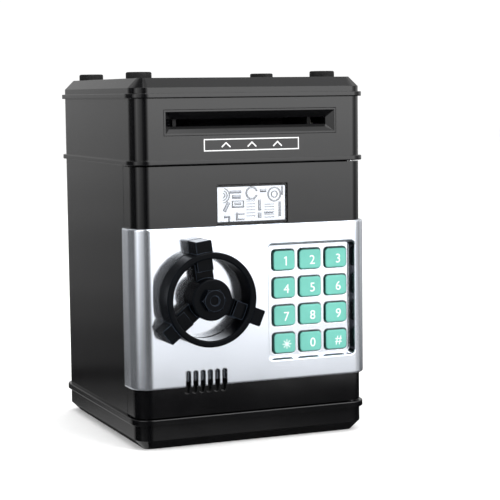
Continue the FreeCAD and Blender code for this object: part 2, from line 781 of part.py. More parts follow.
def make_note_guides():
    body = add_body("note_guide")
    across = around("0", "(dim.frame_gap - 2 * dim.guide_clear)")
    along = (f"{FRONT} + dim.bezel_deep", f"{FEED_Y} - dim.tyre_radius - dim.guide_gap")
    high = f"{SLOT_Z} - dim.slot_tall / 2"
    pad(body, "XY_Plane", (f"{high} - dim.guide_thick", high), (across, along))
    leg = (f"{along[1]} - dim.guide_thick", along[1])
    pad(body, "XZ_Plane", leg, (across, (HEAD_DECK, f"{high} - dim.guide_thick")))
    node(body, "note_guide")
    bend_y = f"{FEED_Y} + dim.tyre_radius"
    bend_z = f"{SLOT_Z} - dim.tyre_radius"
    reach = "(2 * dim.tyre_radius)"
    outer = rod("bend_outer", "X", across, bend_y, bend_z, reach)
    inner = rod("bend_inner", "X", across, bend_y, bend_z, f"{reach} - dim.guide_thick")
    shell = cut("bend_shell", outer, inner)
    quarter = box("bend_quarter", across, (bend_y, f"{bend_y} + {reach}"), (bend_z, f"{bend_z} + {reach}"))
    bend = doc.addObject("Part::Common", "bend")
    bend.Base = shell
    bend.Tool = quarter
    wall_y = (f"{bend_y} + {reach} - dim.guide_thick", f"{bend_y} + {reach}")
    wall = box("bend_wall", across, wall_y, (HEAD_DECK, bend_z))
    node(join("note_deflector", bend, wall), "note_deflector")


# ---- Hinge and strike --------------------------------------------------------------------


def make_hinge_pins():
    reach = "dim.hinge_boss_tall - dim.pin_short"
    low = (f"{BASE_TOP} - dim.deck", f"{DOOR_LOW} + {reach}")
    high = (f"{DOOR_HIGH} - ({reach})", HEAD_DECK)
    node(rod("hinge_low", "Z", HINGE_X, HINGE_Y, low, "dim.pin_radius"), "hinge_pin_lower")
    node(rod("hinge_high", "Z", HINGE_X, HINGE_Y, high, "dim.pin_radius"), "hinge_pin_upper")


def make_strike():
    inner_wall = f"{LEFT} + dim.wall"
    body = add_body("strike_plate")
    tall = around(WHEEL_Z, "dim.strike_tall")
    foot_y = (STRIKE_FRONT, f"{STRIKE_FRONT} + dim.strike_base_deep")
    pad(body, "XZ_Plane", foot_y, ((inner_wall, f"{inner_wall} + dim.strike_base"), tall))
    lip_y = (STRIKE_FRONT, f"{STRIKE_FRONT} + dim.strike_thick")
    pad(body, "XZ_Plane", lip_y, ((inner_wall, f"{inner_wall} + dim.strike_out"), tall))
    node(body, "strike_plate")


# ---- Door --------------------------------------------------------------------------------


def keypad_outline(margin):
    return (grow(around(PAD_X, "dim.keypad_wide"), margin), grow(around(PAD_Z, "dim.keypad_tall"), margin))


def vent_places():
    """Middles of the speaker slots."""
    start = f"{LEFT} + dim.vent_from_left"
    steps = [index - (VENT_COUNT - 1) / 2 for index in range(VENT_COUNT)]
    return [f"{start} + ({step}) * dim.vent_pitch" for step in steps]


def vent_backing_outline(margin):
    wide = f"({VENT_COUNT - 1} * dim.vent_pitch + dim.vent_wide + 2 * dim.vent_margin)"
    across = around(f"({LEFT} + dim.vent_from_left)", wide)
    up = (f"{PANEL_LOW} + dim.vent_floor_up", f"{PANEL_LOW} + dim.vent_up + dim.vent_margin")
    return (grow(across, margin), grow(up, margin))


def window_outline(margin):
    middle = f"({PANEL_HIGH} + dim.window_gap + dim.window_tall / 2)"
    return (grow(around("0", "dim.window_wide"), margin), grow(around(middle, "dim.window_tall"), margin))


def post_places():
    xs = (f"{LEFT} + dim.wall + dim.post_inset", f"{HINGE_X} - dim.hinge_round - dim.post_hinge_gap")
    zs = (f"{DOOR_LOW} + dim.wall + dim.post_inset", f"{DOOR_HIGH} - dim.wall - dim.post_inset")
    return [(x, z) for x in xs for z in zs]


def make_door_blank():
    slab = add_body("door_slab")
    pad(slab, "XY_Plane", (DOOR_LOW, DOOR_HIGH), CASE)
    tall = (DOOR_LOW, DOOR_HIGH)
    main = box("door_main", (LEFT, HINGE_X), (FRONT, DOOR_REAR), tall)
    side = box("door_hinge_side", (HINGE_X, RIGHT), (FRONT, HINGE_Y), tall)
    barrel = rod("door_barrel", "Z", HINGE_X, HINGE_Y, tall, "dim.hinge_round")
    profile = doc.addObject("Part::Common", "door_profile")
    profile.Base = slab
    profile.Tool = join("door_reach", main, side, barrel)
    hollow = add_body("door_hollow")
    pad(hollow, "XY_Plane", (f"{DOOR_LOW} + dim.wall", f"{DOOR_HIGH} - dim.wall"), CASE_INSIDE)
    shell = cut("door_tray", profile, hollow)
    bosses = []
    for name, low, high in (
        ("low", DOOR_LOW, f"{DOOR_LOW} + dim.hinge_boss_tall"),
        ("high", f"{DOOR_HIGH} - dim.hinge_boss_tall", DOOR_HIGH),
    ):
        bosses.append(rod(f"door_boss_{name}", "Z", HINGE_X, HINGE_Y, (low, high), "dim.hinge_boss"))
    for index, (x, z) in enumerate(post_places()):
        bosses.append(rod(f"door_post_{index}", "Y", x, (DOOR_INNER, COVER_FRONT), z, "dim.post_radius"))
    return join("door_blank", shell, *bosses)


def make_door_shell():
    blank = make_door_blank()
    pin_bore = "dim.pin_radius + dim.pin_play"
    tools = [rod("door_pin_hole", "Z", HINGE_X, HINGE_Y, (DOOR_LOW, DOOR_HIGH), pin_bore)]
    for index, (x, z) in enumerate(post_places()):
        bite = (f"{COVER_FRONT} - dim.screw_bite", COVER_FRONT)
        tools.append(rod(f"door_post_hole_{index}", "Y", x, bite, z, "dim.screw_radius"))
    pan = keypad_outline("dim.keypad_wall + dim.fit")
    outside = f"{FRONT} - dim.overcut"
    through = (outside, f"{DOOR_INNER} + dim.overcut")
    tools.append(box("door_keypad_opening", pan[0], through, pan[1]))
    backing = vent_backing_outline("dim.fit")
    tools.append(box("door_vent_opening", backing[0], through, backing[1]))
    window = window_outline("0")
    tools.append(box("door_window_recess", window[0], (outside, f"{FRONT} + dim.window_deep"), window[1]))
    bush = "dim.spindle_radius + dim.spindle_play + dim.bush_wall"
    tools.append(rod("door_bush_hole", "Y", WHEEL_X, through, WHEEL_Z, bush))
    for index, x in enumerate(vent_places()):
        groove = add_body(f"door_vent_{index}")
        tall = (f"{PANEL_LOW} - dim.vent_down", f"{PANEL_LOW} + 2 * dim.vent_floor_up")
        deep = (outside, f"{FRONT} + dim.vent_door_deep")
        pad(groove, "XZ_Plane", deep, (around(x, "dim.vent_wide"), tall, "dim.vent_round"))
        tools.append(groove)
    node(cut("door_shell", blank, *tools), "door_shell")


def inside_panel(bounds):
    inside_up = value(PANEL_LOW) < bounds.ZMin and bounds.ZMax < value(PANEL_HIGH)
    inside_across = value(LEFT) < bounds.XMin and bounds.XMax < value(RIGHT)
    return inside_up and inside_across


def make_silver_panel():
    body = add_body("silver_panel")
    tall = (PANEL_LOW, PANEL_HIGH)
    skin = pad(body, "XY_Plane", tall, outline("-dim.panel_proud", "dim.corner + dim.panel_proud"))
    rims = edges_level(skin, "Z", PANEL_LOW) + edges_level(skin, "Z", PANEL_HIGH)
    dress(body, "Fillet", skin, rims, "dim.panel_round")
    pocket(body, "XY_Plane", tall, CASE)
    left_end = f"{FRONT} + dim.panel_left_wrap"
    beyond = f"{BACK} + 2 * dim.panel_proud"
    pocket(body, "XY_Plane", tall, ((f"{LEFT} - 2 * dim.panel_proud", "0"), (left_end, beyond)))
    pocket(body, "XY_Plane", tall, (("0", f"{RIGHT} + 2 * dim.panel_proud"), (HINGE_Y, beyond)))
    mid_skin = f"{PANEL_FRONT} + dim.panel_proud / 2"
    pad(body, "XZ_Plane", (mid_skin, KEYPAD_REAR), keypad_outline("dim.keypad_wall"))
    backing_rear = f"{PANEL_FRONT} + dim.vent_deep + dim.vent_backing"
    pad(body, "XZ_Plane", (mid_skin, backing_rear), vent_backing_outline("0"))
    mouth = add_sketch(body, "XZ_Plane", f"-{PANEL_FRONT}")
    draw_rectangle(mouth, *keypad_outline("0"), "dim.keypad_round")
    floor = add_sketch(body, "XZ_Plane", f"-{KEYPAD_FLOOR}")
    draw_rectangle(floor, *keypad_outline("-dim.keypad_slope"), "dim.keypad_round")
    recess = body.newObject("PartDesign::SubtractiveLoft", "keypad_recess")
    recess.Profile = mouth
    recess.Sections = [floor]
    recess.Ruled = True
    mouth_edges = edges_level(recess, "Y", PANEL_FRONT, inside_panel)
    dress(body, "Fillet", recess, mouth_edges, "dim.keypad_edge")
    for row in range(KEY_ROWS):
        holes = []
        for column in range(KEY_COLUMNS):
            x, z = key_place(row, column)
            across = grow(around(x, "dim.key_wide"), "dim.key_play")
            up = grow(around(z, "dim.key_tall"), "dim.key_play")
            holes.append((across, up, "dim.key_round"))
        pocket(body, "XZ_Plane", (KEYPAD_FLOOR, KEYPAD_REAR), *holes)
    vent_up = (f"{PANEL_LOW} - dim.vent_down", f"{PANEL_LOW} + dim.vent_up")
    places = vent_places()
    for three in (places[:3], places[3:]):
        vents = [(around(x, "dim.vent_wide"), vent_up, "dim.vent_round") for x in three]
        pocket(body, "XZ_Plane", (PANEL_FRONT, f"{PANEL_FRONT} + dim.vent_deep"), *vents)
    bush = "dim.spindle_radius + dim.spindle_play + dim.bush_wall"
    pocket(body, "XZ_Plane", (PANEL_FRONT, FRONT), (WHEEL_X, WHEEL_Z, bush))
    node(body, "silver_panel")


def make_window():
    card = window_outline("-dim.fit")
    low = f"{FRONT} + dim.window_deep"
    card_span = (f"{low} - dim.card_thick", low)
    node(box("card", card[0], card_span, card[1]), "window_card")
    lens = window_outline("-dim.fit")
    node(box("lens", lens[0], (f"{card_span[0]} - dim.lens_thick", card_span[0]), lens[1]), "window_lens")


# ---- Keypad ------------------------------------------------------------------------------

KEY_NAMES = ("1", "2", "3", "4", "5", "6", "7", "8", "9", "star", "0", "hash")


def key_place(row, column):
    """Middle of a key. The keys sit slightly right of and below the middle of their recess."""
    across = column - (KEY_COLUMNS - 1) / 2
    up = (KEY_ROWS - 1) / 2 - row
    x = f"{PAD_X} + dim.key_aside + ({across}) * dim.key_pitch_across"
    z = f"{PAD_Z} - dim.key_drop + ({up}) * dim.key_pitch_up"
    return x, z


def make_key(name, x, z):
    body = add_body(name)
    front = f"({KEYPAD_FLOOR} - dim.key_proud)"
    face = (around(f"({x})", "dim.key_wide"), around(f"({z})", "dim.key_tall"), "dim.key_round")
    cap = pad(body, "XZ_Plane", (front, KEY_FLANGE_Y), face)
    dress(body, "Fillet", cap, edges_level(cap, "Y", front), "dim.key_edge")
    flange = (*(grow(span, "dim.key_flange_proud + dim.key_play") for span in face[:2]), "dim.key_round")
    pad(body, "XZ_Plane", (KEY_FLANGE_Y, f"{KEY_FLANGE_Y} + dim.key_flange"), flange)
    node(body, name)


def make_keypad():
    for index, label in enumerate(KEY_NAMES):
        row, column = divmod(index, KEY_COLUMNS)
        make_key(f"key_{label}", *key_place(row, column))
    mat = keypad_outline("-dim.fit")
    node(box("mat", mat[0], (MAT_Y, f"{MAT_Y} + dim.mat_thick"), mat[1]), "keypad_mat")
    board = (mat[0], grow(mat[1], "dim.board_margin"))
    node(box("board", board[0], (BOARD_Y, f"{BOARD_Y} + dim.board_thick"), board[1]), "main_board")


# ---- Behind the door ---------------------------------------------------------------------


def make_speaker():
    behind_vents = f"{PANEL_FRONT} + dim.vent_deep + dim.vent_backing"
    front = f"(max({behind_vents}; {DOOR_INNER}) + dim.fit)"
    x = f"{LEFT} + dim.vent_from_left"
    z = f"{PANEL_LOW} + dim.vent_up / 2"
    can_span = (front, f"{front} + dim.speaker_thick")
    magnet_span = (can_span[1], f"{can_span[1]} + dim.magnet_thick")
    can = rod("speaker_can", "Y", x, can_span, z, "dim.speaker_radius")
    magnet = rod("speaker_magnet", "Y", x, magnet_span, z, "dim.magnet_radius")
    node(join("speaker", can, magnet), "speaker")


def make_battery():
    body = add_body("battery_box")
    across = (BATTERY_LEFT, BATTERY_RIGHT)
    up = (BATTERY_LOW, BATTERY_HIGH)
    pad(body, "XZ_Plane", (BATTERY_Y, BATTERY_REAR), (across, up))
    inside = tuple(grow(span, "(-dim.battery_wall)") for span in (across, up))
    pocket(body, "XZ_Plane", (f"{BATTERY_Y} + dim.battery_wall", BATTERY_REAR), inside)
    node(body, "battery_box")
    middle_x = f"({BATTERY_LEFT} + {BATTERY_RIGHT}) / 2"
    lowest = f"{BATTERY_LOW} + dim.battery_wall + dim.cell_gap + dim.cell_radius"
    middle_y = f"{BATTERY_REAR} - {BATTERY_DEEP} / 2"
    cells, contacts = [], []
    for index in range(CELL_COUNT):
        z = f"{lowest} + {index} * (2 * dim.cell_radius + dim.cell_gap)"
        span = around(f"({middle_x})", "dim.cell_long")
        cells.append(rod(f"cell_{index}", "X", span, middle_y, z, "dim.cell_radius"))
        for side, low, high in (
            ("left", f"{BATTERY_LEFT} + dim.battery_wall", span[0]),
            ("right", span[1], f"{BATTERY_RIGHT} - dim.battery_wall"),
        ):
            name = f"contact_{side}_{index}"
            contacts.append(rod(name, "X", (low, high), middle_y, z, "dim.cell_radius / 2"))
    node(group("battery_cells", *cells), "battery_cells")
    node(group("battery_contacts", *contacts), "battery_contacts")
    cover = add_body("battery_cover")
    outer = f"{BATTERY_REAR} + dim.battery_wall"
    lid = pad(cover, "XZ_Plane", (BATTERY_REAR, outer), (across, up))
    dress(cover, "Chamfer", lid, edges_level(lid, "Y", outer), "dim.edge_round")
    middle_z = f"(({BATTERY_LOW} + {BATTERY_HIGH}) / 2)"
    grips = []
    for index in range(3):
        x = f"({BATTERY_LEFT} + dim.grip_from_left + {index} * dim.grip_pitch)"
        grips.append((around(x, "dim.grip_wide"), around(middle_z, "dim.grip_tall")))
    pocket(cover, "XZ_Plane", (f"{outer} - dim.grip_deep", outer), *grips)
    node(cover, "battery_cover")


def make_back_cover():
    body = add_body("door_back_cover")
    across = (f"{LEFT} + dim.wall + dim.fit", f"{HINGE_X} - dim.cover_hinge_gap")
    up = (f"{DOOR_LOW} + dim.wall + dim.fit", f"{DOOR_HIGH} - dim.wall - dim.fit")
    pad(body, "XZ_Plane", (COVER_FRONT, DOOR_REAR), (across, up))
    opening = (
        grow((BATTERY_LEFT, BATTERY_RIGHT), "dim.fit"),
        grow((BATTERY_LOW, BATTERY_HIGH), "dim.fit"),
    )
    pocket(body, "XZ_Plane", (COVER_FRONT, DOOR_REAR), opening)
    holes = [(x, z, "dim.screw_radius + dim.fit") for x, z in post_places()]
    holes.append((WHEEL_X, WHEEL_Z, "dim.spindle_radius + dim.key_play"))
    pocket(body, "XZ_Plane", (COVER_FRONT, DOOR_REAR), *holes)
    node(body, "door_back_cover")
    head_rear = f"{DOOR_REAR} + dim.screw_pan_tall"
    head = (DOOR_REAR, head_rear)
    shank = (f"{COVER_FRONT} - dim.screw_bite", DOOR_REAR)
    mouth = (f"{head_rear} - dim.cross_deep", f"{head_rear} + dim.overcut")
    screws = []
    for index, (x, z) in enumerate(post_places()):
        screws.append(make_screw(f"door_screw_{index}", "Y", {"X": x, "Z": z}, head, shank, mouth))
    node(group("door_screws", *screws), "door_screws")


# ---- Handwheel and lock ------------------------------------------------------------------


def turn(body, sketch):
    feature = body.newObject("PartDesign::Revolution", f"{body.Name}_turned")
    feature.Profile = sketch
    feature.ReferenceAxis = (sketch, ["V_Axis"])
    feature.Angle = 360
    return feature


def spread_three(body, sketch, *originals):
    pattern = body.newObject("PartDesign::PolarPattern", f"{body.Name}_pattern")
    pattern.Originals = list(originals)
    pattern.Axis = (sketch, ["N_Axis"])
    pattern.Angle = 360
    pattern.Occurrences = 3
    body.Tip = pattern
    return pattern


def make_handwheel():
    """Drawn about its own axle, with its back at Y = 0 and its front towards -Y."""
    body = add_body("handwheel")
    whole_depth = ("-dim.wheel_deep", "0 * dim.wheel_deep")
    ring_radii = ("dim.ring_radius - dim.ring_wall", "dim.ring_radius")
    hub_radii = ("dim.spindle_radius", "dim.hub_radius")
    for radii in (ring_radii, hub_radii):
        section = add_sketch(body, "XY_Plane", "0")
        draw_rectangle(section, radii, whole_depth, "dim.wheel_edge")
        turn(body, section)
    ring_middle = "dim.ring_radius - dim.ring_wall / 2"
    hub_middle = "(dim.hub_radius + dim.spindle_radius) / 2"
    arm_front = "(-dim.wheel_deep + dim.arm_setback)"
    arm_up = ("dim.ledge_reach", ring_middle)
    arm_span = (arm_front, f"{arm_front} + dim.arm_deep")
    arm = pad(body, "XZ_Plane", arm_span, (around("0", "dim.arm_wide"), arm_up))
    ledge_front = "(-dim.wheel_deep + dim.ledge_setback)"
    ledge_span = (ledge_front, f"{ledge_front} + dim.ledge_deep")
    ledge_up = (hub_middle, "dim.ledge_reach + dim.ledge_deep")
    ledge = pad(body, "XZ_Plane", ledge_span, (around("0", "dim.ledge_wide"), ledge_up))
    lug_span = ("(-dim.wheel_deep + dim.lug_setback)", "0 * dim.wheel_deep")
    lug_up = (ring_middle, "dim.lug_reach")
    lug = pad(body, "XZ_Plane", lug_span, (around("0", "dim.lug_wide"), lug_up, "dim.wheel_edge"))
    doc.recompute()
    spread_three(body, lug.Profile[0], arm, ledge, lug)
    turned = FreeCAD.Rotation(FreeCAD.Vector(0, -1, 0), size("wheel_clock"))
    body.Placement = FreeCAD.Placement(FreeCAD.Vector(), turned)
    body.setExpression("Placement.Base.x", WHEEL_X)
    body.setExpression("Placement.Base.y", WHEEL_BACK)
    body.setExpression("Placement.Base.z", WHEEL_Z)
    body.setExpression("Placement.Rotation.Angle", "dim.wheel_clock")
    node(body, "handwheel")


def set_on_axle(piece, y):
    """Turns a piece drawn along Z to lie along the handwheel's axle, starting at one depth."""
    piece.Placement = FreeCAD.Placement(FreeCAD.Vector(), FreeCAD.Rotation(FreeCAD.Vector(1, 0, 0), -90))
    piece.setExpression("Placement.Base.x", WHEEL_X)
    piece.setExpression("Placement.Base.y", y)
    piece.setExpression("Placement.Base.z", WHEEL_Z)


def make_wheel_bolt():
    front = f"({WHEEL_FRONT} - dim.bolt_tall)"
    head = doc.addObject("Part::Prism", "bolt_head")
    head.Polygon = 6
    head.setExpression("Circumradius", "dim.bolt_across / 2")
    head.setExpression("Height", "dim.bolt_tall")
    set_on_axle(head, front)
    cone = doc.addObject("Part::Cone", "bolt_crown")
    cone.setExpression("Radius1", "dim.bolt_crown")
    cone.setExpression("Radius2", "dim.bolt_crown + dim.bolt_tall")
    cone.setExpression("Height", "dim.bolt_tall")
    set_on_axle(cone, front)
    crowned = doc.addObject("Part::Common", "bolt_crowned")
    crowned.Base = head
    crowned.Tool = cone
    dish_span = (f"{front} - dim.overcut", f"{front} + dim.bolt_recess_deep")
    dish = rod("bolt_dish", "Y", WHEEL_X, dish_span, WHEEL_Z, "dim.bolt_recess")
    node(cut("wheel_bolt", crowned, dish), "wheel_bolt")


def make_spindle():
    length = (WHEEL_FRONT, f"{CAM_REAR} + dim.spindle_end")
    node(rod("spindle", "Y", WHEEL_X, length, WHEEL_Z, "dim.spindle_radius"), "wheel_spindle")
    bore = "dim.spindle_radius + dim.spindle_play"
    sleeve_span = (PANEL_FRONT, f"{DOOR_INNER} + dim.bush_flange_thick")
    sleeve = rod("bush_sleeve", "Y", WHEEL_X, sleeve_span, WHEEL_Z, f"{bore} + dim.bush_wall")
    flange = rod("bush_flange", "Y", WHEEL_X, (DOOR_INNER, sleeve_span[1]), WHEEL_Z, "dim.bush_flange")
    hole = rod("bush_bore", "Y", WHEEL_X, sleeve_span, WHEEL_Z, bore)
    node(cut("spindle_bush", join("bush_body", sleeve, flange), hole), "spindle_bush")


def make_lock_disc():
    """Round disc set off its axle, so that its edge under the plunger falls over a quarter turn."""
    span = (DISC_FRONT, f"{DISC_FRONT} + dim.disc_thick")
    body = add_body("lock_disc")
    centre = (f"{WHEEL_X} - dim.disc_offset", f"{WHEEL_Z} + dim.disc_offset")
    pad(body, "XZ_Plane", span, (*centre, "dim.disc_radius"))
    pocket(body, "XZ_Plane", span, (WHEEL_X, WHEEL_Z, "dim.spindle_radius"))
    node(body, "lock_disc")


def make_latch_cam():
    span = (CAM_FRONT, CAM_REAR)
    hub = rod("cam_hub", "Y", WHEEL_X, span, WHEEL_Z, "dim.cam_hub")
    arm_up = (WHEEL_Z, f"{WHEEL_Z} + dim.cam_reach - dim.cam_wide / 2")
    arm = box("cam_arm", around(WHEEL_X, "dim.cam_wide"), span, arm_up)
    tip = rod("cam_tip", "Y", WHEEL_X, span, arm_up[1], "dim.cam_wide / 2")
    bore = rod("cam_bore", "Y", WHEEL_X, span, WHEEL_Z, "dim.spindle_radius")
    node(cut("latch_cam", join("cam_blank", hub, arm, tip), bore), "latch_cam")


def make_solenoid():
    disc_middle = f"({DISC_FRONT} + dim.disc_thick / 2)"
    across = around(WHEEL_X, "dim.solenoid_wide")
    deep = (f"{DOOR_INNER} + dim.fit", f"{COVER_FRONT} - dim.fit")
    coil = box("coil", across, deep, (SOLENOID_LOW, f"{SOLENOID_LOW} + dim.solenoid_tall"))
    bore_span = (SOLENOID_LOW, f"{SOLENOID_LOW} + dim.plunger_bore")
    bore = rod("coil_bore", "Z", WHEEL_X, disc_middle, bore_span, "dim.plunger_radius + dim.spindle_play")
    node(cut("lock_solenoid", coil, bore), "lock_solenoid")
    rod_span = (PLUNGER_LOW, f"{SOLENOID_LOW} + dim.plunger_seat")
    node(rod("plunger", "Z", WHEEL_X, disc_middle, rod_span, "dim.plunger_radius"), "lock_plunger")


# ---- Checks and files --------------------------------------------------------------------


def check_document():
    doc.recompute()
    for feature in doc.Objects:
        bad = {"Invalid", "Error"} & set(feature.State)
        if bad:
            raise RuntimeError(f"{feature.Label}: {sorted(bad)}")
        if feature.TypeId == "PartDesign::Pocket" and feature.BaseFeature:
            if feature.Shape.Volume >= feature.BaseFeature.Shape.Volume - LEAST_CUT:
                raise RuntimeError(f"{feature.Label} takes no material away")
    for feature in nodes:
        shape = feature.Shape
        if shape.isNull() or not shape.isValid() or not shape.Solids:
            raise RuntimeError(f"{feature.Label} has no valid solid")


def export_nodes():
    os.makedirs("parts", exist_ok=True)
    for feature in nodes:
        feature.Shape.exportStep(os.path.join("parts", f"{feature.Label}.step"))
        bounds = feature.Shape.BoundBox
        print(
            f"{feature.Label:20s} solids {len(feature.Shape.Solids)} volume {feature.Shape.Volume:9.1f} "
            f"x {bounds.XMin:7.2f} {bounds.XMax:7.2f} y {bounds.YMin:7.2f} {bounds.YMax:7.2f} "
            f"z {bounds.ZMin:7.2f} {bounds.ZMax:7.2f}"
        )


def main():
    fill_sheet()
    make_base()
    make_bottom_plate()
    make_safe_case()
    make_head_case()
    make_slot_bezel()
    make_lid()
    make_coin_chute()
    make_roller_frames()
    make_roller("feed", FEED_Z, "dim.shaft_radius", "dim.tyre_radius", f"{GEAR_X} + dim.gear_wide")
    pinch_end = f"{FRAME_X} + dim.frame_thick + dim.shaft_end"
    make_roller("pinch", PINCH_Z, "dim.pinch_shaft_radius", "dim.pinch_tyre_radius", pinch_end)
    make_feed_drive()
    make_note_guides()
    make_hinge_pins()
    make_strike()
    make_door_shell()
    make_silver_panel()
    make_window()
    make_keypad()
    make_speaker()
    make_battery()
    make_back_cover()
    make_handwheel()
    make_wheel_bolt()
    make_spindle()
    make_lock_disc()
    make_latch_cam()
    make_solenoid()
    check_document()
    export_nodes()


main()
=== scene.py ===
import json
import math
import random

import bmesh
import bpy
from mathutils import Matrix, Vector


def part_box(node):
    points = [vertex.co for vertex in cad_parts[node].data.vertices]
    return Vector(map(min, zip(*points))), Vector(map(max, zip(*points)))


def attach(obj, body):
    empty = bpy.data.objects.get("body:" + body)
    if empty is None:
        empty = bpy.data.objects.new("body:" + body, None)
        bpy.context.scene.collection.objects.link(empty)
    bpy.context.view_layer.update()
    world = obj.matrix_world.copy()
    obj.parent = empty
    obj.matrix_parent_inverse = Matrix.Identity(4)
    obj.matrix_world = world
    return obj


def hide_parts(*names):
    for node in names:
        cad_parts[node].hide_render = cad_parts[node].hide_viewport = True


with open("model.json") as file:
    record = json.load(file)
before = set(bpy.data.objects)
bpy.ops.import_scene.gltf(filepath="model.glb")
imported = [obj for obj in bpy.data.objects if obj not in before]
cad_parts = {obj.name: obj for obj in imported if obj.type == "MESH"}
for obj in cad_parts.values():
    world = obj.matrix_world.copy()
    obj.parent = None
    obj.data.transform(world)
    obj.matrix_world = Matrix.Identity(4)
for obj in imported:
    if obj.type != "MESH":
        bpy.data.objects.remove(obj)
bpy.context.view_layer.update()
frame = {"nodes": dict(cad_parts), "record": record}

NODES = frame["nodes"]
MM = 0.001
SMOOTH_BELOW = math.radians(35)


# ---- Materials ---------------------------------------------------------------------------


class Graph:
    """Node material with the object's own coordinates, in metres, as its pattern space."""

    def __init__(self, name):
        self.material = bpy.data.materials.new(name)
        self.material.use_nodes = True
        self.tree = self.material.node_tree
        self.shader = self.tree.nodes["Principled BSDF"]
        self.coords = self.tree.nodes.new("ShaderNodeTexCoord").outputs["Object"]

    def add(self, kind, **settings):
        item = self.tree.nodes.new(kind)
        for key, value in settings.items():
            setattr(item, key, value)
        return item

    def put(self, socket, value):
        if isinstance(value, bpy.types.NodeSocket):
            self.tree.links.new(value, socket)
        else:
            socket.default_value = value

    def stretched(self, scale):
        mapping = self.add("ShaderNodeMapping")
        self.put(mapping.inputs["Vector"], self.coords)
        mapping.inputs["Scale"].default_value = scale
        return mapping.outputs["Vector"]

    def noise(self, scale, detail=3.0, rough=0.55, vector=None):
        item = self.add("ShaderNodeTexNoise")
        self.put(item.inputs["Vector"], vector or self.coords)
        item.inputs["Scale"].default_value = scale
        item.inputs["Detail"].default_value = detail
        item.inputs["Roughness"].default_value = rough
        return item.outputs["Fac"]

    def cells(self, scale, output="Distance", feature="F1", vector=None):
        item = self.add("ShaderNodeTexVoronoi", feature=feature)
        self.put(item.inputs["Vector"], vector or self.coords)
        item.inputs["Scale"].default_value = scale
        return item.outputs[output]

    def span(self, value, low, high, start=0.3, end=0.7):
        """Value from start to end mapped to low to high."""
        item = self.add("ShaderNodeMapRange")
        self.put(item.inputs["Value"], value)
        item.inputs["From Min"].default_value = start
        item.inputs["From Max"].default_value = end
        item.inputs["To Min"].default_value = low
        item.inputs["To Max"].default_value = high
        return item.outputs["Result"]

    def math(self, operation, first, second=0.0):
        item = self.add("ShaderNodeMath", operation=operation)
        self.put(item.inputs[0], first)
        self.put(item.inputs[1], second)
        return item.outputs[0]

    def mix(self, share, first, second):
        item = self.add("ShaderNodeMix", data_type="RGBA")
        self.put(item.inputs["Factor"], share)
        self.put(item.inputs[6], first)
        self.put(item.inputs[7], second)
        return item.outputs[2]

    def rounded(self, radius):
        item = self.add("ShaderNodeBevel", samples=6)
        item.inputs["Radius"].default_value = radius
        return item.outputs["Normal"]

    def edge(self, rounded):
        """1 along the rounded edges and 0 on the flats."""
        flat = self.add("ShaderNodeNewGeometry").outputs["Normal"]
        item = self.add("ShaderNodeVectorMath", operation="DOT_PRODUCT")
        self.put(item.inputs[0], rounded)
        self.put(item.inputs[1], flat)
        return self.span(item.outputs["Value"], 1.0, 0.0, 0.86, 0.995)

    def hollow(self, reach):
        """1 deep in slots and corners and 0 in the open, looking as far as reach."""
        item = self.add("ShaderNodeAmbientOcclusion", samples=8)
        item.inputs["Distance"].default_value = reach
        return self.span(item.outputs["AO"], 1.0, 0.0, 0.25, 0.85)

    def facing(self, axis):
        """One part, X, Y or Z, of the way the surface faces, in the object's own axes."""
        split = self.add("ShaderNodeSeparateXYZ")
        self.put(split.inputs[0], self.add("ShaderNodeTexCoord").outputs["Normal"])
        return split.outputs[axis]

    def sideways(self):
        """1 where the surface turns away from the front."""
        return self.span(self.facing("Y"), 0.0, 1.0, -0.97, -0.45)

    def leftward(self):
        """1 where the surface looks to the left, as on the right-hand wall of a recess."""
        return self.span(self.facing("X"), 1.0, 0.0, -0.75, -0.35)

    def gain(self, value, factor):
        """Value times factor, up to 1."""
        return self.math("MINIMUM", self.math("MULTIPLY", value, factor), 1.0)

    def bump(self, height, depth, strength=1.0, normal=None):
        item = self.add("ShaderNodeBump")
        self.put(item.inputs["Height"], height)
        item.inputs["Distance"].default_value = depth
        item.inputs["Strength"].default_value = strength
        if normal is not None:
            self.put(item.inputs["Normal"], normal)
        return item.outputs["Normal"]

    def finish(self, colour, roughness, normal, **constants):
        self.put(self.shader.inputs["Base Color"], colour)
        self.put(self.shader.inputs["Roughness"], roughness)
        self.put(self.shader.inputs["Normal"], normal)
        for name, value in constants.items():
            self.shader.inputs[name.replace("_", " ")].default_value = value
        return self.material


def rgba(red, green, blue):
    return (red, green, blue, 1.0)


def lighter(colour, share):
    return rgba(*(min(1.0, part * share) for part in colour[:3]))


def gloss_plastic(name, colour, roughness, level, edge_radius=0.35 * MM, wear_and_highlight=2.5):
    """Polished moulding: faint waviness, fine haze, hairline scuffs and lighter edges: slight rubbing at a
    small factor, a painted highlight at a large one.
    """
    g = Graph(name)
    rounded = g.rounded(edge_radius)
    # Edges lightened: slight rubbing at a small factor, a painted highlight at a large one, as on the
    # wheel.
    worn_and_highlit = g.math("MULTIPLY", g.edge(rounded), g.span(g.noise(140, 4), 0.1, 1.0))
    base = g.mix(g.span(g.noise(55, 4), 0.0, 1.0), colour, lighter(colour, 1.3))
    tone = g.mix(g.math("MULTIPLY", worn_and_highlit, 0.6), base, lighter(colour, wear_and_highlight))
    haze = g.span(g.noise(38, 5), roughness * 0.8, roughness * 1.35)
    scuffs = g.span(g.noise(420, 5, 0.7), 0.0, roughness * 0.35, 0.58, 0.72)
    rough = g.math("ADD", g.math("ADD", haze, scuffs), g.math("MULTIPLY", worn_and_highlit, 0.12))
    wavy = g.bump(g.noise(42, 1), 0.12 * MM, 0.25, rounded)
    fine = g.bump(g.noise(2600, 2), 0.004 * MM, 0.22, wavy)
    return g.finish(tone, rough, fine, Specular_IOR_Level=level)


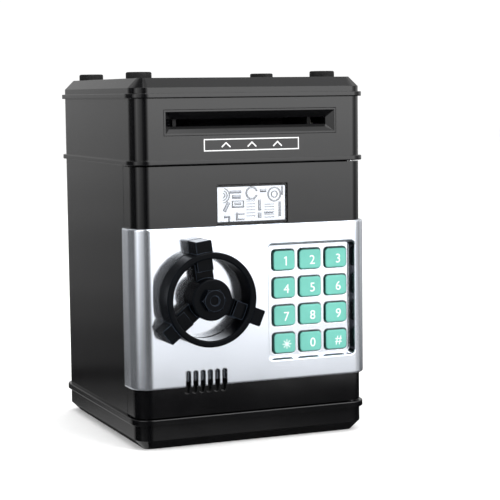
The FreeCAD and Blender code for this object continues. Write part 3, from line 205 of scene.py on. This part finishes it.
def coated_silver(name="silver_coat", shade=1.0):
    """Silver lacquer: tiny flakes, a clear coat, and painted shade, near black, on left-facing walls deep
    in recesses.

    A shade under 1 mixes the flakes towards dark grey.
    """
    g = Graph(name)
    rounded = g.rounded(0.6 * MM)
    grain = g.add("ShaderNodeSeparateColor")
    g.put(grain.inputs[0], g.cells(5200, "Color"))
    speck = g.span(grain.outputs[0], 0.90, 1.0, 0.0, 1.0)
    cloud = g.span(g.noise(24, 4), 0.95, 1.0)
    flakes = g.mix(g.math("MULTIPLY", speck, cloud), rgba(0.46, 0.52, 0.60), rgba(0.85, 0.89, 0.96))
    flakes = g.mix(1.0 - shade, flakes, rgba(0.10, 0.11, 0.13))
    # Painted shade: walls that look to the left, deep in slots and recesses such as the keypad's right
    # wall, turn near black.
    painted_shade = g.math("MULTIPLY", g.gain(g.hollow(12.0 * MM), 8.0), g.leftward())
    tone = g.mix(painted_shade, flakes, rgba(0.035, 0.038, 0.048))
    rough = g.math("ADD", g.span(g.noise(60, 5), 0.10, 0.14), g.span(g.noise(1400, 2), 0.0, 0.03))
    wavy = g.bump(g.noise(30, 1), 0.15 * MM, 0.3, rounded)
    fine = g.bump(g.noise(3000, 2), 0.004 * MM, 0.4, wavy)
    return g.finish(tone, rough, fine, Metallic=0.92, Coat_Weight=0.3, Coat_Roughness=0.08)


def key_plastic():
    """Teal moulding with fine spark grain, darker down its sides where light doesn't reach."""
    g = Graph("teal_key")
    rounded = g.rounded(0.3 * MM)
    cloud = g.span(g.noise(90, 4), 0.0, 1.0)
    face = g.mix(cloud, rgba(0.118, 0.40, 0.335), rgba(0.135, 0.445, 0.375))
    shade = g.gain(g.math("MULTIPLY", g.sideways(), g.hollow(6.0 * MM)), 8.0)
    tone = g.mix(shade, face, rgba(0.002, 0.045, 0.038))
    rough = g.span(g.noise(130, 4), 0.30, 0.38)
    fine = g.bump(g.noise(2400, 3, 0.7), 0.008 * MM, 0.5, rounded)
    return g.finish(tone, rough, fine, Specular_IOR_Level=0.4)


def satin_plastic(name, colour, roughness, grain, depth, edge_radius=0.25 * MM, level=0.45):
    """Textured moulding: spark grain, cloudy tone and lighter edges."""
    g = Graph(name)
    rounded = g.rounded(edge_radius)
    cloud = g.span(g.noise(90, 4), 0.0, 1.0)
    tone = g.mix(cloud, lighter(colour, 0.9), lighter(colour, 1.08))
    tone = g.mix(g.math("MULTIPLY", g.edge(rounded), 0.25), tone, lighter(colour, 1.35))
    rough = g.span(g.noise(130, 4), roughness * 0.9, roughness * 1.1)
    fine = g.bump(g.noise(grain, 3, 0.7), depth, 0.6, rounded)
    return g.finish(tone, rough, fine, Specular_IOR_Level=level)


def rubber(name, colour):
    """Matt rubber with pale dust and a pebbled surface."""
    g = Graph(name)
    rounded = g.rounded(0.3 * MM)
    dust = g.span(g.noise(320, 5, 0.7), 0.0, 1.0, 0.45, 0.75)
    tone = g.mix(g.math("MULTIPLY", dust, 0.5), colour, lighter(colour, 2.2))
    rough = g.span(g.noise(500, 3), 0.55, 0.8)
    fine = g.bump(g.noise(2200, 4, 0.7), 0.03 * MM, 0.6, rounded)
    return g.finish(tone, rough, fine, Specular_IOR_Level=0.3)


def metal(name, colour, roughness, direction):
    """Turned or brushed metal, with its streaks along one direction."""
    g = Graph(name)
    rounded = g.rounded(0.15 * MM)
    streaks = g.noise(1500, 4, 0.6, g.stretched(direction))
    tone = g.mix(g.span(streaks, 0.0, 1.0), lighter(colour, 0.8), lighter(colour, 1.12))
    stain = g.span(g.noise(120, 4), 0.0, 0.35, 0.5, 0.75)
    tone = g.mix(stain, tone, lighter(colour, 0.6))
    rough = g.span(streaks, roughness * 0.75, roughness * 1.3)
    rough = g.math("ADD", rough, g.math("MULTIPLY", stain, 0.15))
    fine = g.bump(streaks, 0.01 * MM, 0.5, rounded)
    return g.finish(tone, rough, fine, Metallic=1.0)


def clear_acrylic():
    """Thin clear pane with a polished face and faint haze."""
    g = Graph("clear_acrylic")
    rough = g.span(g.noise(700, 3), 0.02, 0.06, 0.5, 0.75)
    fine = g.bump(g.noise(60, 1), 0.05 * MM, 0.2, g.rounded(0.2 * MM))
    tone = g.mix(g.span(g.noise(300, 3), 0.0, 1.0), rgba(0.020, 0.022, 0.025), rgba(0.035, 0.037, 0.042))
    polish = {"Specular_IOR_Level": 1.0, "Coat_Weight": 1.0, "Coat_Roughness": 0.03}
    return g.finish(tone, rough, fine, Alpha=0.10, **polish)


def printed_ink(name, colour, roughness=0.4):
    """Ink layer with slight pinholes and an uneven film."""
    g = Graph(name)
    film = g.span(g.noise(1800, 3), 0.0, 1.0)
    tone = g.mix(film, lighter(colour, 0.9), colour)
    rough = g.span(g.noise(900, 2), roughness * 0.85, roughness * 1.15)
    fine = g.bump(g.noise(4000, 2), 0.003 * MM, 0.4)
    return g.finish(tone, rough, fine, Specular_IOR_Level=0.4)


def circuit_board():
    """Green solder mask over tracks, with tinned pads."""
    g = Graph("circuit_board")
    tracks = g.cells(260, feature="DISTANCE_TO_EDGE")
    line = g.span(tracks, 1.0, 0.0, 0.03, 0.06)
    pads = g.span(g.cells(420), 1.0, 0.0, 0.12, 0.2)
    tone = g.mix(line, rgba(0.010, 0.090, 0.035), rgba(0.030, 0.200, 0.080))
    tone = g.mix(pads, tone, rgba(0.55, 0.52, 0.42))
    rough = g.span(g.noise(500, 3), 0.25, 0.4)
    return g.finish(tone, rough, g.bump(line, 0.03 * MM, 0.7, g.rounded(0.1 * MM)))


def cell_sleeve():
    """Shrink sleeve of a dry cell in two printed colours."""
    g = Graph("cell_sleeve")
    wave = g.add("ShaderNodeTexWave", bands_direction="X")
    g.put(wave.inputs["Vector"], g.coords)
    wave.inputs["Scale"].default_value = 9
    band = g.span(wave.outputs["Fac"], 0.0, 1.0, 0.68, 0.72)
    tone = g.mix(band, rgba(0.03, 0.09, 0.35), rgba(0.75, 0.72, 0.60))
    rough = g.span(g.noise(400, 3), 0.2, 0.35)
    return g.finish(tone, rough, g.bump(g.noise(900, 2), 0.01 * MM, 0.4, g.rounded(0.2 * MM)))


def floor_paper():
    """White backdrop paper with fine fibres."""
    g = Graph("studio_floor")
    fibres = g.noise(180, 5, 0.6)
    tone = g.mix(g.span(fibres, 0.0, 1.0), rgba(0.955, 0.955, 0.955), rgba(0.975, 0.975, 0.975))
    rough = g.span(g.noise(40, 4), 0.75, 0.9)
    return g.finish(tone, rough, g.bump(fibres, 0.02 * MM, 0.3), Specular_IOR_Level=0.1)


BLACK = rgba(0.0020, 0.0020, 0.0023)
WHEEL_BLACK = rgba(0.0014, 0.0018, 0.0025)
MATERIALS = {
    "gloss_black": gloss_plastic("gloss_black", BLACK, 0.055, 0.45),
    "silver": coated_silver(),
    # Its edges are lightened eighty times over: a painted highlight along every edge of the wheel.
    "wheel_black": gloss_plastic("wheel_black", WHEEL_BLACK, 0.16, 0.05, 0.5 * MM, 80.0),
    "teal_key": key_plastic(),
    "black_rubber": rubber("black_rubber", rgba(0.006, 0.006, 0.006)),
    "grey_rubber": rubber("grey_rubber", rgba(0.16, 0.165, 0.17)),
    "inner_black": satin_plastic("inner_black", rgba(0.010, 0.010, 0.011), 0.5, 1500, 0.03 * MM),
    "steel": metal("steel", rgba(0.60, 0.60, 0.61), 0.28, (0.15, 1.0, 1.0)),
    "brass": metal("brass", rgba(0.66, 0.46, 0.18), 0.25, (1.0, 0.15, 1.0)),
    "white_plastic": satin_plastic("white_plastic", rgba(0.62, 0.61, 0.57), 0.42, 1800, 0.015 * MM),
    "clear": clear_acrylic(),
    "printed_card": coated_silver("card_foil", 0.92),
    "board_green": circuit_board(),
    "cell_wrap": cell_sleeve(),
}
KEY_INK = printed_ink("key_ink", rgba(0.80, 0.84, 0.84))
MARK_INK = printed_ink("mark_ink", rgba(0.78, 0.78, 0.78))
CARD_RELIEF = coated_silver("card_relief", 0.42)
# Dark ink for the card's painted shadows.
CARD_SHADE = printed_ink("card_shade", rgba(0.12, 0.13, 0.17), 0.3)


def dress_nodes():
    """Gives each CAD node the material of its slot in the record."""
    for row in frame["record"]["subparts"]:
        mesh = NODES[row["node"]].data
        mesh.materials.clear()
        mesh.materials.append(MATERIALS[row["material_slot"]])


# ---- Small geometry helpers --------------------------------------------------------------


def piece(name, mesh, material, body):
    """Puts a finished mesh in the scene as a piece of the object."""
    obj = bpy.data.objects.new(name, mesh)
    bpy.context.scene.collection.objects.link(obj)
    mesh.materials.clear()
    mesh.materials.append(material)
    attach(obj, body)
    return obj


def mesh_from(work, name, smooth=True):
    """Turns the working mesh into a finished one, smooth up to its sharp edges."""
    mesh = bpy.data.meshes.new(name)
    bmesh.ops.recalc_face_normals(work, faces=work.faces)
    work.to_mesh(mesh)
    work.free()
    if smooth:
        mesh.shade_smooth()
        mesh.set_sharp_from_angle(angle=SMOOTH_BELOW)
    return mesh


def lathe(profile, centre, axis, steps=64):
    """Turned solid: profile is (radius, along) pairs in millimetres, centre in metres."""
    work = bmesh.new()
    turn = Vector((0, 0, 1)).rotation_difference(Vector(axis)).to_matrix().to_4x4()
    place = Matrix.Translation(centre) @ turn
    rings = []
    for radius, along in profile:
        if radius == 0:
            rings.append([work.verts.new(place @ Vector((0, 0, along * MM)))])
            continue
        ring = []
        for step in range(steps):
            angle = 2 * math.pi * step / steps
            spot = Vector((radius * math.cos(angle), radius * math.sin(angle), along)) * MM
            ring.append(work.verts.new(place @ spot))
        rings.append(ring)
    for low, high in zip(rings, rings[1:]):
        for step in range(steps):
            after = (step + 1) % steps
            corners = [low[step % len(low)], low[after % len(low)]]
            corners += [high[after % len(high)], high[step % len(high)]]
            unique = list(dict.fromkeys(corners))
            if len(unique) > 2:
                work.faces.new(unique)
    return work


def add_block(work, x, z, wide, tall, y, thick, tilt=0.0):
    """Thin raised block on a face looking to -Y: its middle, its size and the turn about Y."""
    made = bmesh.ops.create_cube(work, size=1.0)["verts"]
    matrix = Matrix.Translation((x, y - thick / 2, z)) @ Matrix.Rotation(tilt, 4, "Y")
    matrix = matrix @ Matrix.Diagonal((wide, thick, tall, 1))
    bmesh.ops.transform(work, matrix=matrix, verts=made)


# ---- Rubber pads on the lid --------------------------------------------------------------


PAD_RADIUS = 6.5


def make_lid_pads():
    """Four turned rubber pads with a rounded rim and a dished top."""
    low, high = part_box("lid_pads")
    radius = PAD_RADIUS
    tall = (high.z - low.z) / MM
    profile = [
        (0, 0), (radius - 0.4, 0), (radius, 0.3), (radius, tall - 0.7), (radius - 0.2, tall - 0.25),
        (radius - 0.7, tall), (radius - 1.4, tall), (radius - 1.9, tall - 0.45), (1.9, tall - 0.6),
        (1.5, tall - 1.3), (0, tall - 1.4),
    ]
    work = bmesh.new()
    for x in (low.x + radius * MM, high.x - radius * MM):
        for y in (low.y + radius * MM, high.y - radius * MM):
            part = lathe(profile, Vector((x, y, low.z)), (0, 0, 1))
            mesh = bpy.data.meshes.new("pad_part")
            part.to_mesh(mesh)
            part.free()
            work.from_mesh(mesh)
            bpy.data.meshes.remove(mesh)
    name = "lid_rubber_pads"
    pads = piece(name, mesh_from(work, name), MATERIALS["black_rubber"], "case")
    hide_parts("lid_pads")


# ---- Printing on the keys ----------------------------------------------------------------

LEGENDS = {
    "key_1": "1", "key_2": "2", "key_3": "3", "key_4": "4", "key_5": "5", "key_6": "6",
    "key_7": "7", "key_8": "8", "key_9": "9", "key_star": "*", "key_0": "0", "key_hash": "#",
}


def text_mesh(text, height, thick, name):
    """Flat raised lettering facing -Y, centred on the origin."""
    curve = bpy.data.curves.new(name, "FONT")
    curve.body = text
    curve.size = 1.0
    curve.resolution_u = 6
    holder = bpy.data.objects.new(name, curve)
    bpy.context.scene.collection.objects.link(holder)
    bpy.context.view_layer.update()
    flat = bpy.data.meshes.new_from_object(holder)
    bpy.data.objects.remove(holder)
    bpy.data.curves.remove(curve)
    work = bmesh.new()
    work.from_mesh(flat)
    bpy.data.meshes.remove(flat)
    bmesh.ops.remove_doubles(work, verts=work.verts, dist=1e-5)
    xs = [v.co.x for v in work.verts]
    ys = [v.co.y for v in work.verts]
    scale = height / (max(ys) - min(ys))
    shift = Vector(((max(xs) + min(xs)) / 2, (max(ys) + min(ys)) / 2, 0))
    for vert in work.verts:
        spot = (vert.co - shift) * scale
        vert.co = Vector((spot.x, 0, spot.y))
    raised = bmesh.ops.extrude_face_region(work, geom=work.faces[:])
    for item in raised["geom"]:
        if isinstance(item, bmesh.types.BMVert):
            item.co.y -= thick
    return work


# Where two prints cross, one is this part thicker, so that no two faces share a plane.
FILM = 0.08
PRINT_THICK = 0.05 * MM
PRINT_SUNK = 0.03 * MM
PRINT_LINE = 0.55 * MM
PRINT_RIGHT = 1.1 * MM
PRINT_DOWN = 0.45 * MM
PRINT_TALL = 4.6 * MM
STAR_TALL = 5.0 * MM
STAR_LINE = 0.7 * PRINT_LINE


def star_mesh(height, line, thick):
    """Eight-armed star of four crossed bars, each a film thicker than the one below it."""
    work = bmesh.new()
    for step in range(4):
        add_block(work, 0, 0, line, height, 0, thick * (1 + step * FILM), step * math.pi / 4)
    return work


def add_flag(work):
    """The slanting stroke at the top left of the 1."""
    thick = PRINT_THICK * (1 + FILM)
    add_block(work, -0.55 * MM, 1.75 * MM, 0.9 * PRINT_LINE, 1.3 * MM, 0, thick, 0.95)


def make_key_prints():
    """Digits sit a little right of and below the middle of each key."""
    for node, text in LEGENDS.items():
        low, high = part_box(node)
        name = f"{node}_print"
        if text == "*":
            work = star_mesh(STAR_TALL, STAR_LINE, PRINT_THICK)
        else:
            work = text_mesh(text, PRINT_TALL, PRINT_THICK, name)
        if text == "1":
            add_flag(work)
        middle = (low + high) / 2
        spot = Vector((middle.x + PRINT_RIGHT, low.y + PRINT_SUNK, middle.z - PRINT_DOWN))
        bmesh.ops.translate(work, vec=spot, verts=work.verts)
        piece(name, mesh_from(work, name, False), KEY_INK, f"{node}_button")


# ---- Window card -------------------------------------------------------------------------


def add_arc(work, x, z, radius, width, y, thick, start, end, steps=28):
    """Raised ring sector on a face looking to -Y, in millimetres."""
    loops = []
    for step in range(steps + 1):
        angle = start + (end - start) * step / steps
        across = Vector((math.cos(angle), 0, math.sin(angle)))
        inner, outer = across * (radius - width / 2), across * (radius + width / 2)
        base = Vector((x, y, z))
        front = Vector((0, -thick, 0))
        loops.append([work.verts.new(base + spot) for spot in (inner, outer, outer + front, inner + front)])
    for first, second in zip(loops, loops[1:]):
        for corner in range(4):
            after = (corner + 1) % 4
            work.faces.new((first[corner], first[after], second[after], second[corner]))
    work.faces.new(loops[0])
    work.faces.new(list(reversed(loops[-1])))


# The card's drawing, in millimetres and radians about the card's middle.
# RING_END stops just short of a full turn, so that a ring's two ends stay apart.
RING_END = 6.283
# Rings and arcs: x, z, radius, line width, start angle, end angle.
CARD_ARCS = [
    (-15.6, 4.6, 1.2, 0.5, -1.5, 1.3),
    (-15.6, 4.6, 2.4, 0.5, -1.5, 1.3),
    (-15.6, 4.6, 3.6, 0.5, -1.5, 1.3),
    (0.2, 5.4, 2.9, 0.9, 0.3, 5.9),
    (12.6, 4.4, 3.4, 0.8, 0.0, RING_END),
    (12.6, 4.4, 1.6, 0.6, 0.0, RING_END),
]
# Plates and bars: x, z, width, height, tilt.
CARD_PLATES = [
    (-8.6, 6.4, 6.2, 1.1, 0),
    (-8.2, 4.0, 4.6, 1.6, 0),
    (-13.6, -1.2, 1.7, 5.2, 0.5),
    (-7.4, -1.2, 6.4, 0.55, 0),
    (-7.4, 1.6, 6.4, 0.55, 0),
    (-10.4, 0.2, 0.55, 3.0, 0),
    (-4.4, 0.2, 0.55, 3.0, 0),
    (-7.4, 0.2, 3.6, 1.3, 0),
    (-13.4, -6.0, 3.0, 0.9, 0),
    (-12.2, -7.4, 0.9, 3.0, 0),
    (-8.0, -6.2, 1.0, 4.0, 0),
    (-5.6, -5.0, 3.2, 0.8, 0),
    (-5.6, -7.6, 3.2, 0.8, 0),
    (4.4, -0.6, 1.4, 5.0, 0),
    (4.4, -6.0, 1.8, 2.8, 0),
    (9.4, -4.6, 4.8, 0.7, 0),
    (15.6, -3.2, 1.2, 7.6, 0),
    (6.4, 6.6, 3.4, 1.4, 0),
    (17.0, 6.2, 0.8, 4.6, 0),
]
# Painted shadows beside some of the plates, dark bars mostly just below them: x, z, width, height.
CARD_SHADOWS = [
    (-8.6, 5.6, 6.4, 0.35),
    (-8.2, 2.95, 4.8, 0.4),
    (-7.4, -1.65, 6.8, 0.3),
    (-0.4, 2.2, 5.0, 0.3),
    (4.4, -3.4, 1.8, 0.5),
    (9.4, -5.2, 5.0, 0.3),
    (6.4, 5.7, 3.6, 0.35),
    (-13.4, -6.65, 3.2, 0.3),
]
CARD_THICK = 0.12
CARD_EDGE = 0.03
CARD_EMBOSS = 0.22
PLATE_STEP = 0.003
SHADOW_THICK = 0.02
COMB_TEETH = 6
DOT_COUNT = 9
DOT_STEPS = 10


def card_base(wide, thick, tall):
    """Foil sheet with a small bevel."""
    base = bmesh.new()
    add_block(base, 0, 0, wide, tall, thick / 2, CARD_THICK)
    bmesh.ops.bevel(base, geom=base.edges[:], offset=CARD_EDGE, segments=1, affect="EDGES")
    return base


def card_relief(y):
    """Embossed arcs, plates, two combs and a row of dots. Each plate is a touch taller than the last."""
    raised = bmesh.new()
    for x, z, radius, width, start, end in CARD_ARCS:
        add_arc(raised, x, z, radius, width, y, CARD_EMBOSS, start, end)
    for index, (x, z, across, up, tilt) in enumerate(CARD_PLATES):
        add_block(raised, x, z, across, up, y, CARD_EMBOSS + PLATE_STEP * index, tilt)
    chance = random.Random(11)
    for index in range(COMB_TEETH):
        add_block(raised, -0.4, 1.4 - index * 1.5, 4.6, 0.38, y, CARD_EMBOSS)
        add_block(raised, 9.8, -0.6 - index * 1.3, 5.2, 0.36, y, CARD_EMBOSS * chance.uniform(0.7, 1.0))
    for index in range(DOT_COUNT):
        x = -16.6 + index * 1.35
        add_arc(raised, x, -8.9, 0.26, 0.3, y, CARD_EMBOSS, 0.0, RING_END, DOT_STEPS)
    return raised


def card_shadows(y):
    """Thin dark bars just below some of the plates: painted shadows of the raised plates."""
    shade = bmesh.new()
    for x, z, across, up in CARD_SHADOWS:
        add_block(shade, x, z, across, up, y, SHADOW_THICK)
    return shade


def place_in_metres(work, spot):
    """Takes a drawing in millimetres to its place in the frame."""
    bmesh.ops.scale(work, vec=(MM, MM, MM), verts=work.verts)
    bmesh.ops.translate(work, vec=spot, verts=work.verts)


def make_window_card():
    """Embossed foil card of a generic circuit: plates, arcs, combs and dots."""
    low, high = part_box("window_card")
    centre = (low + high) / 2
    wide, thick, tall = (high - low) / MM
    front = thick / 2 - CARD_THICK
    base, raised, shade = card_base(wide, thick, tall), card_relief(front), card_shadows(front)
    for work in (base, raised, shade):
        place_in_metres(work, centre)
    foil = MATERIALS["printed_card"]
    sheet = piece("window_card_foil", mesh_from(base, "window_card_foil"), foil, "door")
    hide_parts("window_card")
    relief = mesh_from(raised, "window_card_relief")
    piece("window_card_relief", relief, CARD_RELIEF, "door")
    shading = mesh_from(shade, "window_card_shading", False)
    piece("window_card_shading", shading, CARD_SHADE, "door")
    # Painted shadow of the lens recess, laid round the card.
    make_window_recess_shadow(low.y)


RECESS_SHADOW_END = 0.5
RECESS_SHADOW_BAND = 1.05
RECESS_SHADOW_THICK = 0.06


def make_window_recess_shadow(card_front):
    """Painted shadow of the lens recess's walls: a black sheet round the card, wider above and below than
    at the ends.
    """
    low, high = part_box("window_lens")
    middle = (low + high) / 2
    half_wide, half_tall = (high.x - low.x) / 2 / MM, (high.z - low.z) / 2 / MM
    rim = bmesh.new()
    for side in (-1, 1):
        end = side * (half_wide - RECESS_SHADOW_END / 2)
        add_block(rim, end, 0, RECESS_SHADOW_END, 2 * half_tall, 0, RECESS_SHADOW_THICK)
        band = side * (half_tall - RECESS_SHADOW_BAND / 2)
        add_block(rim, 0, band, 2 * (half_wide - RECESS_SHADOW_END), RECESS_SHADOW_BAND, 0, RECESS_SHADOW_THICK)
    place_in_metres(rim, Vector((middle.x, card_front, middle.z)))
    name = "window_recess_shadow"
    piece(name, mesh_from(rim, name, False), MATERIALS["inner_black"], "door")


# ---- Printed mark under the banknote slot ------------------------------------------------


# The print starts a little inside the head's front face.
HEAD_FRONT = -0.0625
MARK_LOW = 148.7 * MM
MARK_HIGH = 154.3 * MM
MARK_HALF_WIDE = 25.6 * MM
MARK_LINE = 0.55 * MM
MARK_THICK = 0.04 * MM
MARK_SUNK = 0.01 * MM
ARROW_GAP = 14 * MM
ARROW_ASIDE = 1.1 * MM
ARROW_LONG = 3.4 * MM
ARROW_LINE = 1.2 * MARK_LINE
ARROW_TILT = 0.75


def make_slot_mark():
    """Generic printed frame with three arrow heads that point up to the slot."""
    face = HEAD_FRONT + MARK_SUNK
    middle = (MARK_LOW + MARK_HIGH) / 2
    over = MARK_THICK * (1 + FILM)
    work = bmesh.new()
    for z in (MARK_LOW, MARK_HIGH):
        add_block(work, 0, z, 2 * MARK_HALF_WIDE, MARK_LINE, face, MARK_THICK)
    for x in (-MARK_HALF_WIDE, MARK_HALF_WIDE):
        add_block(work, x, middle, MARK_LINE, MARK_HIGH - MARK_LOW + MARK_LINE, face, over)
    for x in (-ARROW_GAP, 0, ARROW_GAP):
        for side, thick in ((-1, MARK_THICK), (1, over)):
            arm = x + side * ARROW_ASIDE
            add_block(work, arm, middle, ARROW_LONG, ARROW_LINE, face, thick, side * ARROW_TILT)
    piece("slot_mark", mesh_from(work, "slot_mark", False), MARK_INK, "case")


# ---- Studio ------------------------------------------------------------------------------


def make_floor():
    """White paper that the object's reflections don't see, because the world holds their studio."""
    work = bmesh.new()
    bmesh.ops.create_grid(work, x_segments=8, y_segments=8, size=FLOOR_HALF)
    floor = bpy.data.objects.new("studio_floor", mesh_from(work, "studio_floor"))
    bpy.context.scene.collection.objects.link(floor)
    floor.data.materials.append(floor_paper())
    floor.visible_glossy = False


def area_light(name, place, wide, tall, power):
    """Soft light aimed at the object, unseen by the camera and in reflections."""
    data = bpy.data.lights.new(name, "AREA")
    data.shape = "RECTANGLE"
    data.size, data.size_y = wide, tall
    data.energy = power
    lamp = bpy.data.objects.new(name, data)
    bpy.context.scene.collection.objects.link(lamp)
    lamp.location = place
    lamp.rotation_euler = (LIGHT_TARGET - Vector(place)).to_track_quat("-Z", "Y").to_euler()
    lamp.visible_camera = False
    lamp.visible_glossy = False


FLOOR_HALF = 6.0
LIGHT_TARGET = Vector((0, 0, 0.1))
# Name, place, width and height in metres, and power in watts.
LIGHTS = [
    ("key_light", (0.9, -1.5, 1.5), 1.2, 1.0, 26),
    ("left_fill", (-1.5, -0.4, 1.0), 1.0, 1.0, 10),
    ("top_light", (0.0, 0.2, 1.8), 1.4, 1.4, 14),
]
LOWEST_LOOK = -0.30
HIGHEST_LOOK = 0.70
PLAIN_STRENGTH = 1.05

# Brightness of the reflected studio against the height looked at, from LOWEST_LOOK to HIGHEST_LOOK.
HEIGHT_STOPS = [
    (0.0, 0.05), (0.088, 0.13), (0.098, 0.01), (0.124, 0.01), (0.135, 0.19), (0.148, 0.21), (0.165, 0.32),
    (0.185, 0.44), (0.205, 0.48), (0.232, 0.65),
    (0.26, 0.82), (0.30, 1.0), (0.5, 1.05), (0.75, 0.70), (1.0, 1.5),
]
# Brightness round about, starting and ending at -X, with +X in the middle and -Y a quarter of the way.
TURN_STOPS = [
    (0.0, 0.02), (0.035, 0.40), (0.063, 0.72), (0.10, 0.50), (0.146, 0.31), (0.19, 0.06), (0.229, 0.01),
    (0.255, 0.15), (0.285, 1.12), (0.37, 1.12), (0.43, 0.30), (0.47, 0.14), (0.51, 0.26), (0.57, 0.30),
    (0.62, 0.22), (0.70, 0.18), (0.77, 0.187), (0.83, 0.158), (0.885, 0.04), (1.0, 0.02),
]
STUDIO_STRENGTH = 2.9
# A pale patch low on the left, as from a table top: against height and round about.
TABLE_HEIGHT_STOPS = [(0.0, 0.20), (0.07, 0.15), (0.095, 0.11), (0.115, 0.035), (0.13, 0.0)]
TABLE_TURN_STOPS = [(0.0, 0.0), (0.72, 0.0), (0.76, 1.0), (0.86, 1.0), (0.89, 0.0)]
# A low bright strip in front, which the lower part of the silver panel mirrors.
STRIP_HEIGHT_STOPS = [(0.0, 0.0), (0.117, 0.0), (0.126, 0.36), (0.14, 0.13), (0.165, 0.06), (0.20, 0.0)]
STRIP_TURN_STOPS = [(0.0, 0.0), (0.255, 0.0), (0.285, 1.0), (0.40, 1.0), (0.46, 0.7), (0.50, 0.0)]
PATCHES = [
    (HEIGHT_STOPS, TURN_STOPS),
    (TABLE_HEIGHT_STOPS, TABLE_TURN_STOPS),
    (STRIP_HEIGHT_STOPS, STRIP_TURN_STOPS),
]


def ramp(tree, value, stops):
    """Brightness read off a list of (place, level) stops."""
    item = tree.nodes.new("ShaderNodeValToRGB")
    tree.links.new(value, item.inputs["Fac"])
    item.color_ramp.interpolation = "EASE"
    while len(item.color_ramp.elements) < len(stops):
        item.color_ramp.elements.new(0.5)
    for element, (place, level) in zip(item.color_ramp.elements, stops):
        element.position = place
        element.color = (level, level, level, 1.0)
    return item.outputs["Color"]


def blend(tree, kind, first, second):
    """Two colours multiplied or added."""
    item = tree.nodes.new("ShaderNodeMix")
    item.data_type = "RGBA"
    item.blend_type = kind
    item.inputs["Factor"].default_value = 1.0
    tree.links.new(first, item.inputs[6])
    tree.links.new(second, item.inputs[7])
    return item.outputs[2]


def make_world():
    """White sweep for the eye and the matt light, and the dim studio of PATCHES for reflections."""
    world = bpy.data.worlds.new("studio")
    bpy.context.scene.world = world
    world.use_nodes = True
    tree = world.node_tree
    nodes, links = tree.nodes, tree.links
    nodes.clear()
    coords = nodes.new("ShaderNodeTexCoord").outputs["Generated"]
    split = nodes.new("ShaderNodeSeparateXYZ")
    links.new(coords, split.inputs[0])
    lift = nodes.new("ShaderNodeMapRange")
    links.new(split.outputs["Z"], lift.inputs["Value"])
    lift.inputs["From Min"].default_value = LOWEST_LOOK
    lift.inputs["From Max"].default_value = HIGHEST_LOOK
    angle = nodes.new("ShaderNodeMath")
    angle.operation = "ARCTAN2"
    links.new(split.outputs["Y"], angle.inputs[0])
    links.new(split.outputs["X"], angle.inputs[1])
    turn = nodes.new("ShaderNodeMapRange")
    links.new(angle.outputs[0], turn.inputs["Value"])
    turn.inputs["From Min"].default_value = -math.pi
    turn.inputs["From Max"].default_value = math.pi
    up, about = lift.outputs["Result"], turn.outputs["Result"]
    total = None
    for height_stops, turn_stops in PATCHES:
        patch = blend(tree, "MULTIPLY", ramp(tree, up, height_stops), ramp(tree, about, turn_stops))
        total = patch if total is None else blend(tree, "ADD", total, patch)
    studio = nodes.new("ShaderNodeBackground")
    links.new(total, studio.inputs["Color"])
    studio.inputs["Strength"].default_value = STUDIO_STRENGTH
    plain = nodes.new("ShaderNodeBackground")
    plain.inputs["Color"].default_value = (1.0, 1.0, 1.0, 1.0)
    plain.inputs["Strength"].default_value = PLAIN_STRENGTH
    path = nodes.new("ShaderNodeLightPath")
    choose = nodes.new("ShaderNodeMixShader")
    links.new(path.outputs["Is Glossy Ray"], choose.inputs["Fac"])
    links.new(plain.outputs[0], choose.inputs[1])
    links.new(studio.outputs[0], choose.inputs[2])
    out = nodes.new("ShaderNodeOutputWorld")
    links.new(choose.outputs[0], out.inputs["Surface"])


CAMERA_PLACE = Vector((-306.4, -793.0, 176.2)) * MM
CAMERA_LENS = 113.4
CAMERA_SENSOR = 36.0
CAMERA_YAW = math.radians(22.64)
CAMERA_PITCH = math.radians(5.63)
CAMERA_ROLL = math.radians(-0.66)


def make_camera():
    """The photo's view: yaw to the right of +Y, pitch down, and a slight roll."""
    data = bpy.data.cameras.new("camera")
    data.lens = CAMERA_LENS
    data.sensor_width = CAMERA_SENSOR
    data.clip_start = 0.01
    data.clip_end = 50.0
    camera = bpy.data.objects.new("camera", data)
    bpy.context.scene.collection.objects.link(camera)
    yaw, pitch, roll = CAMERA_YAW, CAMERA_PITCH, CAMERA_ROLL
    ahead = Vector((math.sin(yaw) * math.cos(pitch), math.cos(yaw) * math.cos(pitch), -math.sin(pitch)))
    right = Vector((math.cos(yaw), -math.sin(yaw), 0.0))
    up = right.cross(ahead)
    tilted_right = math.cos(roll) * right + math.sin(roll) * up
    tilted_up = -math.sin(roll) * right + math.cos(roll) * up
    axes = Matrix((tilted_right, tilted_up, -ahead)).transposed().to_4x4()
    camera.matrix_world = Matrix.Translation(CAMERA_PLACE) @ axes
    bpy.context.scene.camera = camera


def make_studio():
    make_floor()
    make_world()
    for name, place, wide, tall, power in LIGHTS:
        area_light(name, place, wide, tall, power)
    bpy.context.scene.view_settings.view_transform = "Standard"


make_camera()
make_studio()
dress_nodes()
make_lid_pads()
make_key_prints()
make_window_card()
make_slot_mark()
